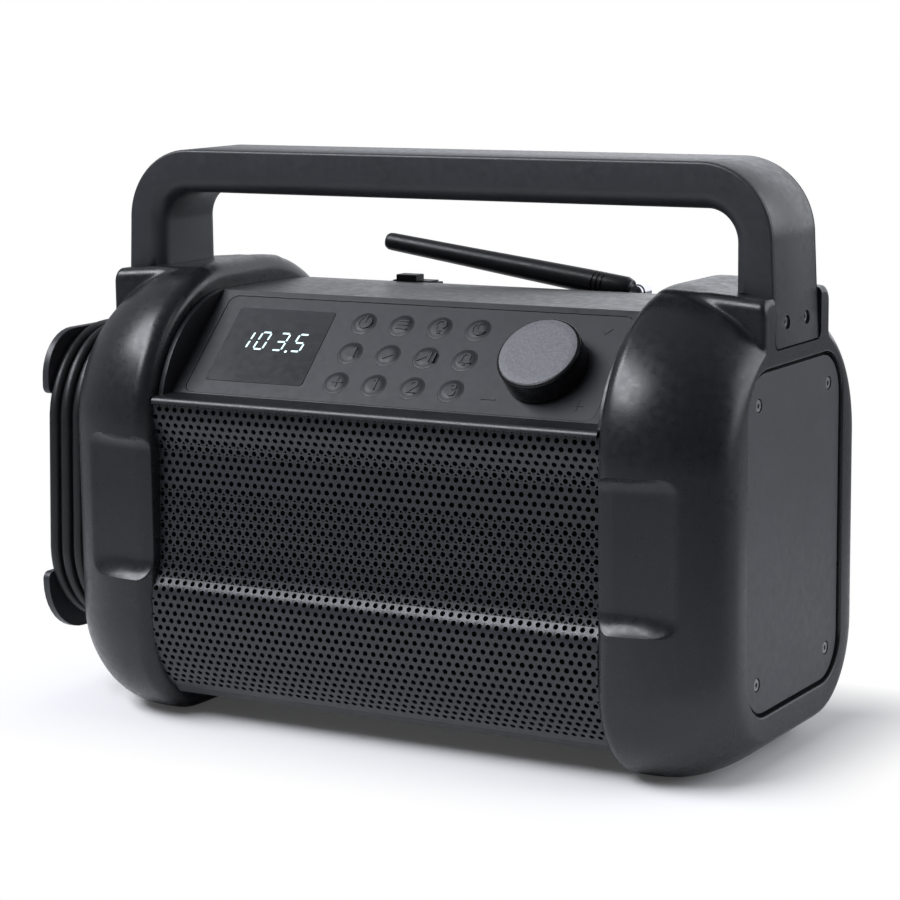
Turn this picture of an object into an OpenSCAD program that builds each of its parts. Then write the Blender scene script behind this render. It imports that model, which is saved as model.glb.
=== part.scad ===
// Jobsite radio: a mains portable with a perforated grille, a sloping keypad, two end bumpers,
// a carrying handle, a cord winder on the left end and a folding antenna.
// Millimetres, +Z up, front towards -Y. Z = 0 is the surface that the bumpers stand on.

/* [Cabinet] */
// Width of the cabinet between the bumpers
body_w = 240; // [236:1:244]
// Height of the top deck
deck_z = 209.3; // [206:0.1:212]
// Height of the underside
floor_z = 17; // [15:0.5:19]
// Wall thickness of the cabinet mouldings
wall = 3; // [2.5:0.1:3.5]
// Plane where the front and rear mouldings meet
split_y = 20; // [16:1:22]
// Back wall
back_y = 83.5; // [81:0.5:85]
// Radius of the back edges
back_r = 30; // [24:1:32]

/* [Control panel] */
// Slope of the panel
panel_slope = 43.8; // [42:0.1:46]
// Rear edge of the panel, where it leaves the deck
panel_rear_y = -27.7; // [-30:0.1:-26]
// Length of the panel down the slope
panel_len = 65.3; // [63:0.1:67]
// Thickness of the panel moulding
panel_t = 3; // [2.6:0.1:3.4]
// Length of the rubber membrane down the slope
membrane_len = 60.7; // [58:0.1:62]
// Width of the rubber membrane
membrane_w = 222; // [216:1:226]
// Thickness of the membrane
membrane_t = 0.8; // [0.6:0.1:1.2]
// Width of the display window
window_w = 55.3; // [50:0.1:58]
// Height of the display window down the slope
window_h = 45.4; // [40:0.1:47]
// Middle of the display window across the radio
window_x = -74.4; // [-77:0.1:-72]
// Spacing of the buttons across the radio
button_pitch_x = 20.8; // [20:0.1:22]
// Spacing of the button rows
button_pitch_s = 18.2; // [17.5:0.1:19]
// Diameter of a button
button_d = 13; // [11:0.1:14]
// Travel of a button
button_travel = 0.8; // [0.5:0.1:0.9]
// First button column
button_x = -28.8; // [-30:0.1:-27]
// Diameter of the volume knob
knob_d = 40.4; // [36:0.1:42]
// Height of the volume knob
knob_h = 13.2; // [12:0.1:15]
// Middle of the volume knob across the radio
knob_x = 78; // [76:0.5:80]

/* [Grille] */
// Height of the lip under the panel's nose
lip_z = 159.9; // [159:0.1:161]
// Depth of the ridge that stands furthest forward
ridge_y = -90.2; // [-91:0.1:-89]
// Thickness of the sheet
grille_t = 1; // [0.8:0.1:1.2]

/* [Speakers] */
// Distance between the two speaker axes
speaker_pitch = 120; // [116:1:122]
// Height of the speaker axes
speaker_z = 90; // [86:1:94]
// Diameter of a speaker's flange
speaker_d = 112; // [106:1:114]
// Travel of a cone each way
cone_travel = 2; // [1:0.5:2.5]

/* [Bumpers] */
// Width over both bumpers
bumper_w = 356; // [352:1:362]
// Distance between the two widest sections
bumper_mid_w = 257; // [254:1:260]
// Depth of the widest section
bumper_d = 188; // [186:1:190]
// Height of the widest section
bumper_h = 222; // [221:0.5:224]
// Height of the end face's upper edge
end_top = 199.5; // [197:0.5:202]
// Height of the end face's lower edge
end_bottom = 16; // [14:0.5:19]
// Plan radius of the outer surface
plan_r = 66; // [64:0.5:68]
// Fillet between the outer surface and the end face
plan_fillet = 20; // [17:0.5:21]
// Roll-over radius of the inner edge
roll_r = 12; // [11:0.5:14]
// Depth of the finger pocket's floor at its inner end
pocket_depth = 4; // [3:0.5:6]
// Lower rim of the pocket
pocket_z0 = 73.2; // [70:0.1:76]
// Upper rim of the pocket
pocket_z1 = 144.1; // [140:0.1:148]
// Half width of the boss that holds a handle leg
boss_half = 38.3; // [36:0.1:40]

/* [End plates and hooks] */
// Depth of an end plate front to back
plate_d = 106.8; // [102:0.1:110]
// Lower edge of an end plate
plate_z0 = 30.2; // [29:0.1:32]
// Distance of an end plate's upper edge below the bumper's top
plate_drop = 36.6; // [35:0.1:39]
// Corner radius of an end plate
plate_r = 20; // [16:0.5:24]
// Thickness of an end plate
plate_t = 4; // [3:0.5:4.5]
// Width of the gap round an end plate
plate_gap = 1.8; // [1:0.1:2]
// Distance from the left bumper to the outer face of the hooks
hook_reach = 29; // [28:0.5:32]
// Thickness of a hook's flange
hook_t = 4; // [3:0.1:4.5]
// Half width of the upper hook
upper_hook_half = 61.5; // [58:0.5:64]
// Half width of the lower hook
lower_hook_half = 66.5; // [63:0.5:68]

/* [Handle] */
// Top of the handle
handle_top = 277.8; // [276:0.1:282]
// Underside of the grip
grip_z = 257.5; // [255:0.1:259]
// Depth of the handle front to back
handle_d = 51; // [47:0.5:53]
// Thickness of the handle's cover strap
cover_t = 2.2; // [1.8:0.1:2.6]
// Outer corner radius
handle_r = 35.5; // [32:0.5:38]
// Inner corner radius
handle_inner_r = 12; // [9:0.5:14]

/* [Antenna and door] */
// Antenna pivot across the radio
antenna_x = 61.5; // [56:0.5:72]
// Antenna pivot front to back
antenna_y = 76.5; // [76:0.1:77]
// Length from the pivot to the mast's tip
antenna_len = 145; // [130:1:150]
// Angle of the folded mast above the deck
antenna_rest = 7.6; // [7:0.1:10]
// Middle of the rear door across the radio
door_x = -62; // [-63:0.5:-60]
// Width of the rear door
door_w = 90; // [84:1:92]
// Lower edge of the rear door
door_z = 75; // [72:0.5:78]
// Height of the latch tab above its landing
latch_h = 3.6; // [3:0.1:4.4]

/* [Mains cord] */
// Diameter of the cord
cord_d = 6; // [5.6:0.1:6.2]
// Distance between two turns on the winder
cord_pitch = 7.4; // [6.6:0.1:7.6]
// Turns on the winder
cord_turns = 3; // [2:1:3]

/* [Hidden] */
$fn = 48;
eps = 0.01;
fit = 0.1;
slack = 0.3;

// The origin lies under the middle of everything, hooks included.
origin_x = hook_reach / 2;
body_x = body_w / 2;

// Panel: rear end, direction down the slope and outward normal.
panel_cos = cos(panel_slope);
panel_sin = sin(panel_slope);
// Distance down the slope from the rear edge to the row of zero for the layout below.
panel_zero = 29.8;
membrane_s0 = -26.2;
membrane_s1 = membrane_s0 + membrane_len;
membrane_dip = membrane_t + 0.2;
window_s = 3.7;
window_r = 2;
window_ledge = 1.5;
button_s = -13.3;
button_dome = 0.9;
button_flange = 0.9;
// Depth of the flange's top below the membrane.
key_z = panel_t - membrane_dip + membrane_t + fit;
// Gap between the panel and the keypad board, and length of the plunger that reaches for it.
board_gap = 3.4;
key_tip = board_gap - fit - 0.2 - button_travel;
knob_s = 7.3;
knob_gap = 0.6;
knob_cap_t = 0.8;
nose_y = -88.5;
nose_r = 3;
cheek_t = 2.6;
cheek_r = 62.3;
cheek_c = [-22, deck_z - 61.8];
baffle_y = -76;
// The rear deck falls away on a long radius until it meets the back edge's own.
crown_r = 360;
crown_turn = asin((back_y - back_r - split_y) / (crown_r - back_r));
crown_z = deck_z - crown_r + (crown_r - back_r) * cos(crown_turn);
board_t = 1.6;
encoder_shaft_r = 3;
encoder_s = 14;
encoder_h = 7;

// Grille: the stepped profile, from the lip down to the floor.
grille_profile = concat(
    [[-85.8, lip_z], [-86, 152], [-85, 148]],
    [[-82.6, 142.5], [-81.6, 137], [-82, 118], [-83.2, 90], [-84.2, 80]],
    [[-86.4, 74.5], [-89.4, 70], [ridge_y, 67], [ridge_y, 53]],
    arc([ridge_y + 49, 53], 49, 180, 227, 8)
);

// Speakers
speaker_cut_r = speaker_d / 2 - 9;
voice_r = 12.3;
voice_t = 0.9;
voice_gap = 0.8;
// Depths of the magnet gap's floor and of the voice coil's end behind the baffle.
magnet_z = 46;
coil_z = magnet_z - 4 - cone_travel;
cone_rim = 2 + cone_travel;

// Bumpers
// Half width of the flat band that a bumper stands on.
foot_half = 10.3;
mid_x = bumper_mid_w / 2;
end_x = bumper_w / 2;
bumper_y = bumper_d / 2;
plan_c = [mid_x, bumper_y - plan_r];
fillet_dx = end_x - plan_fillet - mid_x;
fillet_dy = sqrt(pow(plan_r - plan_fillet, 2) - pow(fillet_dx, 2));
plan_turn = atan2(fillet_dy, fillet_dx);
end_y = plan_c[1] + fillet_dy;
foot_turn = acos(foot_half / plan_r);
top_corner = [76, 50];
bottom_corner = [46.5, 37.5];
cavity_y = 72;
cavity_r = 30;
plate_z1 = bumper_h - plate_drop;
cavity_z0 = plate_z0;
cavity_z1 = plate_z1 + 0.6;
cavity_x = end_x - 12;
plate_out = end_x - 1.5;
plate_in = plate_out - plate_t;
screw_y = plate_d / 2 - 12.9;
screw_z = [plate_z0 + 14.2, plate_z1 - 13.9];
screw_r = 1.5;
head_r = 2.75;
pocket_tilt = 6;
pocket_r = 10;
boss_r = 8;

// Handle
leg_x = 177.2;
leg_in = 161;
leg_z = bumper_h - 27.7;
leg_slope = 0.0454;
leg_taper = 2.3;
slot_gap = 0.6;
handle_y = handle_d / 2;
handle_screw_y = 11.4;
handle_screw_z = leg_z + 11.5;
insert_r = 3.5;
insert_len = 11;

// Cord and winder: a turn is a rounded trapezium of two upper and two lower arcs.
cord_r = cord_d / 2;
loop_top_c = [16, 141];
loop_top_r = 45;
loop_bottom_c = [23.7, 78];
loop_bottom_r = 40;
first_turn = end_x + cord_pitch - 0.4;
winding_in = first_turn - cord_r;
hook_out = end_x + hook_reach;
hook_in = hook_out - hook_t;
winding_out = min(first_turn + (cord_turns - 1) * cord_pitch + cord_r, hook_in - 0.1);
saddle_t = 5;
// Hook flanges: lower and upper edge with their corner radii; saddles: height and rear end.
upper_hook_z = [155.5, 187.2];
upper_hook_r = [4, 24];
upper_saddle = [160, 44];
lower_hook_z = [31.5, 64.6];
lower_hook_r = [28, 4];
lower_saddle = [56, 38];
gland_x = -183.5;
gland_z = 130;
gland_end = 31;
plug_z = 91.8;
plug_end = 24;
plug_t = 13.4;
// The lead leaves the gland and bends up into the top arc; the tail leaves the bottom arc and
// bends forward to the plug while it crosses under the turns.
lead_r = 24;
tail_r = 26;
function ease(t) = let (k = min(1, max(0, t))) k * k * (3 - 2 * k);
lead_turn = asin((gland_z + lead_r - loop_top_c[1]) / (loop_top_r - lead_r));
lead_c = [loop_top_c[0] + (loop_top_r - lead_r) * cos(lead_turn), gland_z + lead_r];
lead_route = concat([[gland_x, gland_end, gland_z]], [for (i = [0:12])
    let (a = -90 + (90 + lead_turn) * i / 12)
    [gland_x - (first_turn + gland_x) * ease(i / 12), lead_c[0] + lead_r * cos(a),
        lead_c[1] + lead_r * sin(a)]]);
last_turn = first_turn + (cord_turns - 1) * cord_pitch;
tail_turn = asin((plug_z - tail_r - loop_bottom_c[1]) / (loop_bottom_r - tail_r));
tail_c = [loop_bottom_c[0] + (loop_bottom_r - tail_r) * cos(tail_turn), plug_z - tail_r];
tail_route = concat([for (i = [0:18])
    let (a = tail_turn + (90 - tail_turn) * i / 18)
    [-last_turn + (last_turn + gland_x) * ease((i - 2) / 16), tail_c[0] + tail_r * cos(a),
        tail_c[1] + tail_r * sin(a)]], [[gland_x, plug_end, plug_z]]);

// Antenna, door and rear sockets
// Front edge of the door on the back's curve, and the landing that the latch slides on;
// the antenna's seat lies lower on the same curve.
door_top_y = back_y - 17.5;
latch_y = door_top_y - 6;
landing_z = deck_z - 1.9;
seat_z = landing_z - 7.8;
pivot_z = seat_z + 6.1;
swivel_r = 6.5;
swivel_pin_r = 3;
swivel_head_r = 4.6;
pin_r = 1.5;
door_pin = [back_y + 3.7, door_z - 4];
knuckle_r = 3.2;
mast_rod_r = 2.8;
mast_z = 4.6;
tray_y = 26;
tray_wall = 2;
socket_z = 150;
usb_x = 45;
aux_x = 70;
latch_x = -62;
latch_w = 12;
foot_screw_x = [-100, -35, 35, 100];

function arc(c, r, a0, a1, n) =
    [for (i = [0:n]) let (a = a0 + (a1 - a0) * i / n) [c[0] + r * cos(a), c[1] + r * sin(a)]];
function flip(p) = [for (i = [len(p) - 1:-1:0]) [-p[i][0], p[i][1]]];

// A point of the panel's cross-section: s down the slope, n outward.
function on_slope(s, n) = [
    panel_rear_y - (s + panel_zero) * panel_cos - n * panel_sin,
    deck_z - (s + panel_zero) * panel_sin + n * panel_cos
];

panel_s1 = panel_len - panel_zero;
// Inner face of the wall under the panel, and where it meets the deck's underside.
inner_n = -panel_t - wall;
inner_s = (wall + inner_n * panel_cos) / panel_sin - panel_zero;
panel_foot = on_slope(panel_s1, 0);
nose_z = panel_foot[1] - 0.9;

module along_x(x0, x1) {
    translate([x0, 0, 0]) rotate([90, 0, 90]) linear_extrude(x1 - x0) children();
}

module along_y(y0, y1) {
    translate([0, y1, 0]) rotate([90, 0, 0]) linear_extrude(y1 - y0) children();
}

module both_sides() {
    children();
    mirror([1, 0, 0]) children();
}

module placed() {
    translate([origin_x, 0, 0]) children();
}

// Local x across the radio, local y up the slope, local z outward.
module on_panel(x = 0, s = 0, n = 0) {
    p = on_slope(s, n);
    translate([x, p[0], p[1]]) rotate([panel_slope, 0, 0]) children();
}

module rounded(w, h, r) {
    k = min(r, w / 2 - eps, h / 2 - eps);
    union() {
        square([w, h - 2 * k], center = true);
        square([w - 2 * k, h], center = true);
        for (x = [-1, 1], y = [-1, 1]) translate([x * (w / 2 - k), y * (h / 2 - k)]) circle(k);
    }
}

module block(x, y, z) {
    translate([x[0], y[0], z[0]]) cube([x[1] - x[0], y[1] - y[0], z[1] - z[0]]);
}

module bar_x(x0, x1, y, z, r) {
    translate([x0, y, z]) rotate([0, 90, 0]) cylinder(h = x1 - x0, r = r);
}

module bar_y(y0, y1, x, z, r) {
    translate([x, y0, z]) rotate([-90, 0, 0]) cylinder(h = y1 - y0, r = r);
}

// ---------- cabinet ----------

module front_outline() {
    polygon(concat(
        [[split_y, deck_z], [panel_rear_y, deck_z]],
        [on_slope(-panel_zero, -panel_t), on_slope(panel_s1, -panel_t), panel_foot],
        arc([nose_y + nose_r, nose_z - nose_r], nose_r, 90, 180, 6),
        [[nose_y, lip_z], [baffle_y, lip_z], [baffle_y, floor_z + 9]],
        [[baffle_y + 8, floor_z], [split_y, floor_z]]
    ));
}

module front_hollow() {
    polygon([
        [split_y + 1, deck_z - wall], on_slope(inner_s, inner_n),
        on_slope(panel_s1 - 1, inner_n), [baffle_y + wall, lip_z - wall],
        [baffle_y + wall, floor_z + 10], [baffle_y + 9, floor_z + wall],
        [split_y + 1, floor_z + wall]
    ]);
}

module cheek() {
    difference() {
        translate(cheek_c) circle(cheek_r, $fn = 96);
        polygon([
            panel_foot + [-20, -2], on_slope(panel_s1, -panel_t - 1),
            on_slope(-panel_zero, -panel_t - 1) + [0, 0], [80, deck_z - wall - 1], [80, -20], [-120, -20]
        ]);
        translate([panel_rear_y, deck_z]) square([100, 40]);
    }
}

module front_cabinet() {
    placed() color("dimgray") difference() {
        union() {
            along_x(-body_x, body_x) front_outline();
            for (x = [-body_x, body_x - cheek_t]) along_x(x, x + cheek_t) cheek();
            for (x = foot_screw_x) block([x - 6, x + 6], [split_y - 4, split_y + 12],
                [floor_z + wall, floor_z + wall + 8]);
        }
        difference() {
            along_x(-body_x + wall, body_x - wall) front_hollow();
            for (x = foot_screw_x) block([x - 6, x + 6], [split_y - 4, split_y + 12],
                [floor_z + wall, floor_z + wall + 8]);
            for (x = [-50, 50], y = [-6, split_y - 6]) translate([x, y, deck_z - wall - 8.5])
                cylinder(h = 10, r = 3);
        }
        on_panel(0, (membrane_s0 + membrane_s1) / 2 + 0.6, inner_n - 2)
            linear_extrude(wall + 4) rounded(membrane_w - 16, membrane_len - 6.4, 3);
        for (x = [-1, 1] * speaker_pitch / 2) bar_y(baffle_y - 1, baffle_y + wall + 1, x, speaker_z,
            speaker_cut_r);
        for (x = foot_screw_x) translate([x, split_y + 6, floor_z]) cylinder(h = wall + 7, r = screw_r);
    }
}

module rear_outline(inset) {
    r = back_r - inset;
    polygon(concat(
        arc([split_y, deck_z - crown_r], crown_r - inset, 90, 90 - crown_turn, 5),
        arc([back_y - back_r, crown_z], r, 90 - crown_turn, 0, 9),
        arc([back_y - back_r, floor_z + back_r], r, 0, -90, 10),
        [[split_y, floor_z + inset]]
    ));
}

module door_region(grow) {
    polygon([
        [door_top_y - grow, crown_z + 18], [door_top_y - grow, deck_z + 5],
        [back_y + 5, deck_z + 5], [back_y + 5, door_z - grow],
        [back_y - wall - 2, door_z - grow], [back_y - wall - 2, crown_z]
    ]);
}

module hinge_bracket(k) {
    block([door_x + min(k * 22.2, k * 30), door_x + max(k * 22.2, k * 30)],
        [back_y - 0.5, door_pin[0]], [door_pin[1] - knuckle_r, door_pin[1] + knuckle_r - 0.5]);
}

module door_arm(k) {
    block([door_x + min(k * 12, k * 22), door_x + max(k * 12, k * 22)],
        [back_y - 0.5, door_pin[0]], [door_z + 0.4, door_z + 4.4]);
    block([door_x + min(k * 12, k * 22), door_x + max(k * 12, k * 22)],
        [door_pin[0] - 2.6, door_pin[0]], [door_pin[1], door_z + 4.4]);
}

// The hollow frame that carries a bumper on the cabinet's end.
module end_frame() {
    w = 2 * (cavity_y - fit);
    h = cavity_z1 - cavity_z0 - 2 * fit;
    difference() {
        along_x(body_x, cavity_x - 6) translate([0, (cavity_z0 + cavity_z1) / 2]) rounded(w, h, cavity_r);
        along_x(body_x - 1, cavity_x - 6 - wall) translate([0, (cavity_z0 + cavity_z1) / 2])
            rounded(w - 2 * wall, h - 2 * wall, cavity_r - wall);
    }
}

module left_end_frame() {
    placed() color("dimgray") mirror([1, 0, 0]) end_frame();
}

module right_end_frame() {
    placed() color("dimgray") end_frame();
}

module rear_cabinet() {
    placed() color("dimgray") difference() {
        union() {
            difference() {
                union() {
                    difference() {
                        union() {
                            along_x(-body_x, body_x) rear_outline(0);
                            block([latch_x - 10, latch_x + 16], [latch_y - 6.5, door_top_y],
                                [landing_z - 4, landing_z]);
                        }
                        along_x(-body_x + wall, body_x - wall) translate([-eps, 0]) rear_outline(wall);
                    }
                    block([antenna_x - 9, antenna_x + 9], [back_y - 17, back_y], [seat_z - 14, seat_z]);
                    for (x = [30, 85], z = [socket_z - 45, socket_z - 15])
                        bar_y(back_y - wall - 9, back_y - 1, x, z, 3);
                }
                along_x(door_x - door_w / 2, door_x + door_w / 2) door_region(0);
            }
            for (k = [-1, 1]) {
                hinge_bracket(k);
                bar_x(door_x + min(k * 22.2, k * 30), door_x + max(k * 22.2, k * 30), door_pin[0],
                    door_pin[1], knuckle_r);
            }
        }
        bar_x(door_x - 31, door_x + 31, door_pin[0], door_pin[1], pin_r);
        block([antenna_x - 9, antenna_x + 9], [back_y - 14, back_y + 1], [seat_z, deck_z]);
        translate([antenna_x, antenna_y, seat_z - 15]) cylinder(h = 16, r = swivel_pin_r + fit);
        translate([antenna_x, antenna_y, seat_z - 17]) cylinder(h = 7, r = swivel_head_r + slack);
        block([latch_x - 5, latch_x + 12], [latch_y - 2.2, latch_y + 2.2], [landing_z - 7, landing_z + 1]);
        bar_y(back_y - wall - 1, back_y + 1, aux_x, socket_z, 4 + fit);
        block([usb_x - 7.35, usb_x + 7.35], [back_y - wall - 1, back_y + 1],
            [socket_z - 3.35, socket_z + 3.35]);
        for (x = foot_screw_x) translate([x, split_y + 6, floor_z - 1]) {
            cylinder(h = wall + 2, r = screw_r + 0.2);
            cylinder(h = 2.5, r = head_r + 0.3);
        }
        for (x = foot_screw_x) block([x - 6.1, x + 6.1], [split_y - 1, split_y + 12.1],
            [floor_z + wall, floor_z + wall + 8]);
    }
}

module speaker_grille() {
    n = len(grille_profile);
    placed() color("darkslategray") along_x(-body_x - 0.3, body_x + 0.3) polygon(concat(
        grille_profile,
        [for (i = [n - 1:-1:0]) grille_profile[i] + [grille_t, i > n - 6 ? grille_t * 0.8 : 0]]
    ));
}

module bottom_trim() {
    foot = grille_profile[len(grille_profile) - 1];
    placed() color("dimgray") along_x(-body_x, body_x) polygon([
        foot, foot + [3, -3.6], [baffle_y + 8, floor_z], [baffle_y, floor_z + 9],
        [baffle_y, foot[1] + 6], foot + [grille_t + 0.2, grille_t]
    ]);
}

// ---------- control panel ----------

module panel_plate_holes(grow) {
    for (i = [0:3], j = [0:2]) translate([button_x + i * button_pitch_x, -button_s - j * button_pitch_s])
        circle(button_d / 2 + grow);
}

module control_panel() {
    mid_s = (membrane_s0 + membrane_s1) / 2;
    placed() color("gray") {
        difference() {
            on_panel(0, 0, -panel_t) linear_extrude(panel_t)
                translate([-body_x + cheek_t, -panel_s1]) square([2 * (body_x - cheek_t), panel_len]);
            on_panel(0, mid_s, -membrane_dip) linear_extrude(membrane_dip + 1)
                rounded(membrane_w + 0.5, membrane_len + 0.5, 5.2);
            on_panel(0, 0, -panel_t - 1) linear_extrude(panel_t + 2) panel_plate_holes(fit);
            on_panel(window_x, window_s, -panel_t - 1) linear_extrude(panel_t + 2)
                rounded(window_w - 2 * window_ledge, window_h - 2 * window_ledge, 1);
            on_panel(knob_x, knob_s, -panel_t - 1) cylinder(h = panel_t + 2, r = 4.6);
        }
        for (x = [-39, 43], s = [-17, 25]) on_panel(x, s, -panel_t - board_gap)
            cylinder(h = board_gap + eps, r = 2);
    }
}

module keypad_membrane() {
    placed() color([0.32, 0.32, 0.33]) difference() {
        on_panel(0, (membrane_s0 + membrane_s1) / 2, -membrane_dip) linear_extrude(membrane_t)
            rounded(membrane_w, membrane_len, 5);
        on_panel(0, 0, -membrane_dip - 1) linear_extrude(membrane_t + 2) panel_plate_holes(fit);
        on_panel(window_x, window_s, -membrane_dip - 1) linear_extrude(membrane_t + 2)
            rounded(window_w + 2 * fit, window_h + 2 * fit, window_r);
        on_panel(knob_x, knob_s, -membrane_dip - 1) cylinder(h = membrane_t + 2, r = 9);
    }
}

module key(i, j) {
    r = button_d / 2;
    dome_r = (r * r + button_dome * button_dome) / (2 * button_dome);
    placed() color([0.3, 0.3, 0.31])
        on_panel(button_x + i * button_pitch_x, button_s + j * button_pitch_s, -membrane_dip + membrane_t)
        rotate_extrude() polygon(concat(
            [[0, -key_z - key_tip], [1.5, -key_z - key_tip], [1.5, -key_z - button_flange]],
            [[r + 0.7, -key_z - button_flange], [r + 0.7, -key_z], [r, -key_z], [r, 0]],
            [for (k = [1:5]) let (x = r * (1 - k / 5))
                [x, button_dome - dome_r + sqrt(dome_r * dome_r - x * x)]]
        ));
}

module display_window() {
    placed() color([0.09, 0.09, 0.1]) on_panel(window_x, window_s, -membrane_dip)
        linear_extrude(membrane_dip) rounded(window_w, window_h, window_r);
}

module display_module() {
    placed() color("darkgreen") {
        on_panel(window_x, window_s, -panel_t - 5) linear_extrude(5) rounded(window_w, window_h - 2, 0.5);
        on_panel(window_x, window_s, -panel_t - eps) linear_extrude(panel_t - membrane_dip)
            rounded(window_w - 2 * window_ledge - 0.4, window_h - 2 * window_ledge - 0.4, 0.5);
    }
}

module volume_knob() {
    r = knob_d / 2;
    placed() color([0.05, 0.05, 0.06]) on_panel(knob_x, knob_s, -membrane_dip + membrane_t + knob_gap)
        rotate_extrude($fn = 96) polygon([
            [8, 0], [r - 0.6, 0], [r, 0.6], [r, knob_h - 1.2], [r - 1.2, knob_h], [r - 2, knob_h],
            [r - 2, knob_h - knob_cap_t], [0, knob_h - knob_cap_t], [0, knob_h - 2.2],
            [encoder_shaft_r, knob_h - 2.2], [encoder_shaft_r, 6.5], [8, 6.5]
        ]);
}

module knob_cap() {
    placed() color([0.46, 0.46, 0.48])
        on_panel(knob_x, knob_s, -membrane_dip + membrane_t + knob_gap + knob_h - knob_cap_t)
        cylinder(h = knob_cap_t + 0.4, r = knob_d / 2 - 2, $fn = 96);
}

module encoder_shaft() {
    placed() color("silver") on_panel(knob_x, knob_s, -panel_t - 5)
        cylinder(h = panel_t + 5 - membrane_dip + membrane_t + knob_gap + knob_h - 2.2, r = encoder_shaft_r);
}

module rotary_encoder() {
    placed() color("silver") difference() {
        union() {
            on_panel(knob_x, knob_s, -panel_t - encoder_h) linear_extrude(encoder_h)
                rounded(encoder_s, encoder_s, 0.5);
            on_panel(knob_x, knob_s, -panel_t) cylinder(h = panel_t + 4, r = 4.5);
            on_panel(knob_x, knob_s, -membrane_dip) cylinder(h = 2, r = 7, $fn = 6);
        }
        on_panel(knob_x, knob_s, -panel_t - 5) cylinder(h = 20, r = encoder_shaft_r + 0.05);
    }
}

module keypad_board() {
    placed() color("darkgreen") on_panel(2, 3, -panel_t - board_gap - board_t) linear_extrude(board_t)
        rounded(90, 54, 1);
}

module main_board() {
    z = deck_z - wall - 8.5;
    placed() color("darkgreen") {
        block([-58, 58], [-12, split_y - 1], [z - board_t, z]);
        for (x = [-30, 0, 30]) block([x - 7, x + 7], [-5, 9], [z - board_t - 2.5, z - board_t + eps]);
    }
}

// ---------- speakers ----------

module speaker(x) {
    translate([x, baffle_y + wall, speaker_z]) rotate([-90, 0, 0]) children();
}

module speaker_frame(x) {
    r = speaker_d / 2;
    hole = speaker_cut_r;
    placed() color("darkslategray") speaker(x) rotate_extrude($fn = 72) polygon([
        [hole, 0], [r, 0], [r, 3], [hole + 2.5, 3], [28, 33], [36, 33], [36, 54], [0, 54], [0, 33],
        [voice_r - voice_gap, 33], [voice_r - voice_gap, magnet_z],
        [voice_r + voice_t + voice_gap, magnet_z], [voice_r + voice_t + voice_gap, 33],
        [25.5, 33], [hole, 3]
    ]);
}

module speaker_cone(x) {
    r = speaker_cut_r - 5;
    placed() color([0.12, 0.12, 0.13]) speaker(x) rotate_extrude($fn = 72) polygon([
        [0, 18], [voice_r - 2, 20], [voice_r, 23], [voice_r, coil_z], [voice_r + voice_t, coil_z],
        [voice_r + voice_t, 22], [r, cone_rim + 1.2], [r, cone_rim], [r - 2, cone_rim],
        [voice_r, 20.6], [voice_r - 2, 18.8], [0, 16.8]
    ]);
}

// ---------- battery box, door, latch ----------

module battery_box() {
    w = door_w + 4;
    placed() color([0.16, 0.16, 0.17]) difference() {
        along_x(door_x - w / 2, door_x + w / 2) intersection() {
            rear_outline(wall + eps);
            translate([tray_y, door_z - 2]) square([100, 200]);
        }
        along_x(door_x - w / 2 + tray_wall + 1, door_x + w / 2 - tray_wall - 1) polygon([
            [tray_y + tray_wall, door_z + 2], [back_y + 9, door_z + 2], [back_y + 9, deck_z + 9],
            [door_top_y - 2, deck_z + 9], [door_top_y - 2, landing_z - 8],
            [tray_y + tray_wall, landing_z - 8]
        ]);
    }
}

module rear_door() {
    placed() color("dimgray") difference() {
        union() {
            along_x(door_x - door_w / 2 + 0.4, door_x + door_w / 2 - 0.4) intersection() {
                difference() {
                    rear_outline(0);
                    rear_outline(wall - 0.4);
                }
                door_region(-0.4);
            }
            for (k = [-1, 1]) {
                door_arm(k);
                bar_x(door_x + min(k * 12, k * 22), door_x + max(k * 12, k * 22), door_pin[0],
                    door_pin[1], knuckle_r);
            }
        }
        bar_x(door_x - 31, door_x + 31, door_pin[0], door_pin[1], pin_r + fit);
    }
}

module door_hinge_pin() {
    placed() color("silver") bar_x(door_x - 30.5, door_x + 30.5, door_pin[0], door_pin[1], pin_r);
}

module door_latch() {
    placed() color([0.12, 0.12, 0.13]) {
        translate([latch_x, latch_y, landing_z]) {
            block([-latch_w / 2, latch_w / 2], [-4, 4], [0.6, latch_h]);
            block([-8, 14], [-4, 5.4], [0.1, 0.8]);
            block([-4.5, 3.5], [-2, 2], [-3, 0.8]);
        }
    }
}

// ---------- power and sockets ----------

module power_supply_board() {
    y = back_y - wall - 9;
    placed() color("darkgreen") {
        block([20, 95], [y - board_t, y], [socket_z - 52, socket_z - 8]);
        for (x = [35, 60, 80]) block([x - 6, x + 6], [y - board_t - 12, y - board_t + eps],
            [socket_z - 46, socket_z - 28]);
    }
}

module transformer() {
    placed() color("peru") {
        block([47, 88], [22, 53], [floor_z + wall, floor_z + wall + 44]);
        block([42, 93], [30, 46], [floor_z + wall + 6, floor_z + wall + 38]);
    }
}

module usb_socket() {
    placed() color("silver") difference() {
        block([usb_x - 7.25, usb_x + 7.25], [back_y - 14, back_y], [socket_z - 3.25, socket_z + 3.25]);
        block([usb_x - 6.55, usb_x + 6.55], [back_y - 12, back_y + 1], [socket_z - 2.55, socket_z + 2.55]);
    }
}

module aux_jack() {
    placed() color([0.1, 0.1, 0.1]) difference() {
        union() {
            block([aux_x - 6, aux_x + 6], [back_y - wall - 12, back_y - wall],
                [socket_z - 6, socket_z + 6]);
            bar_y(back_y - wall - eps, back_y + 0.5, aux_x, socket_z, 4);
        }
        bar_y(back_y - wall - 11, back_y + 1, aux_x, socket_z, 1.8);
    }
}

// ---------- bumpers ----------

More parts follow.
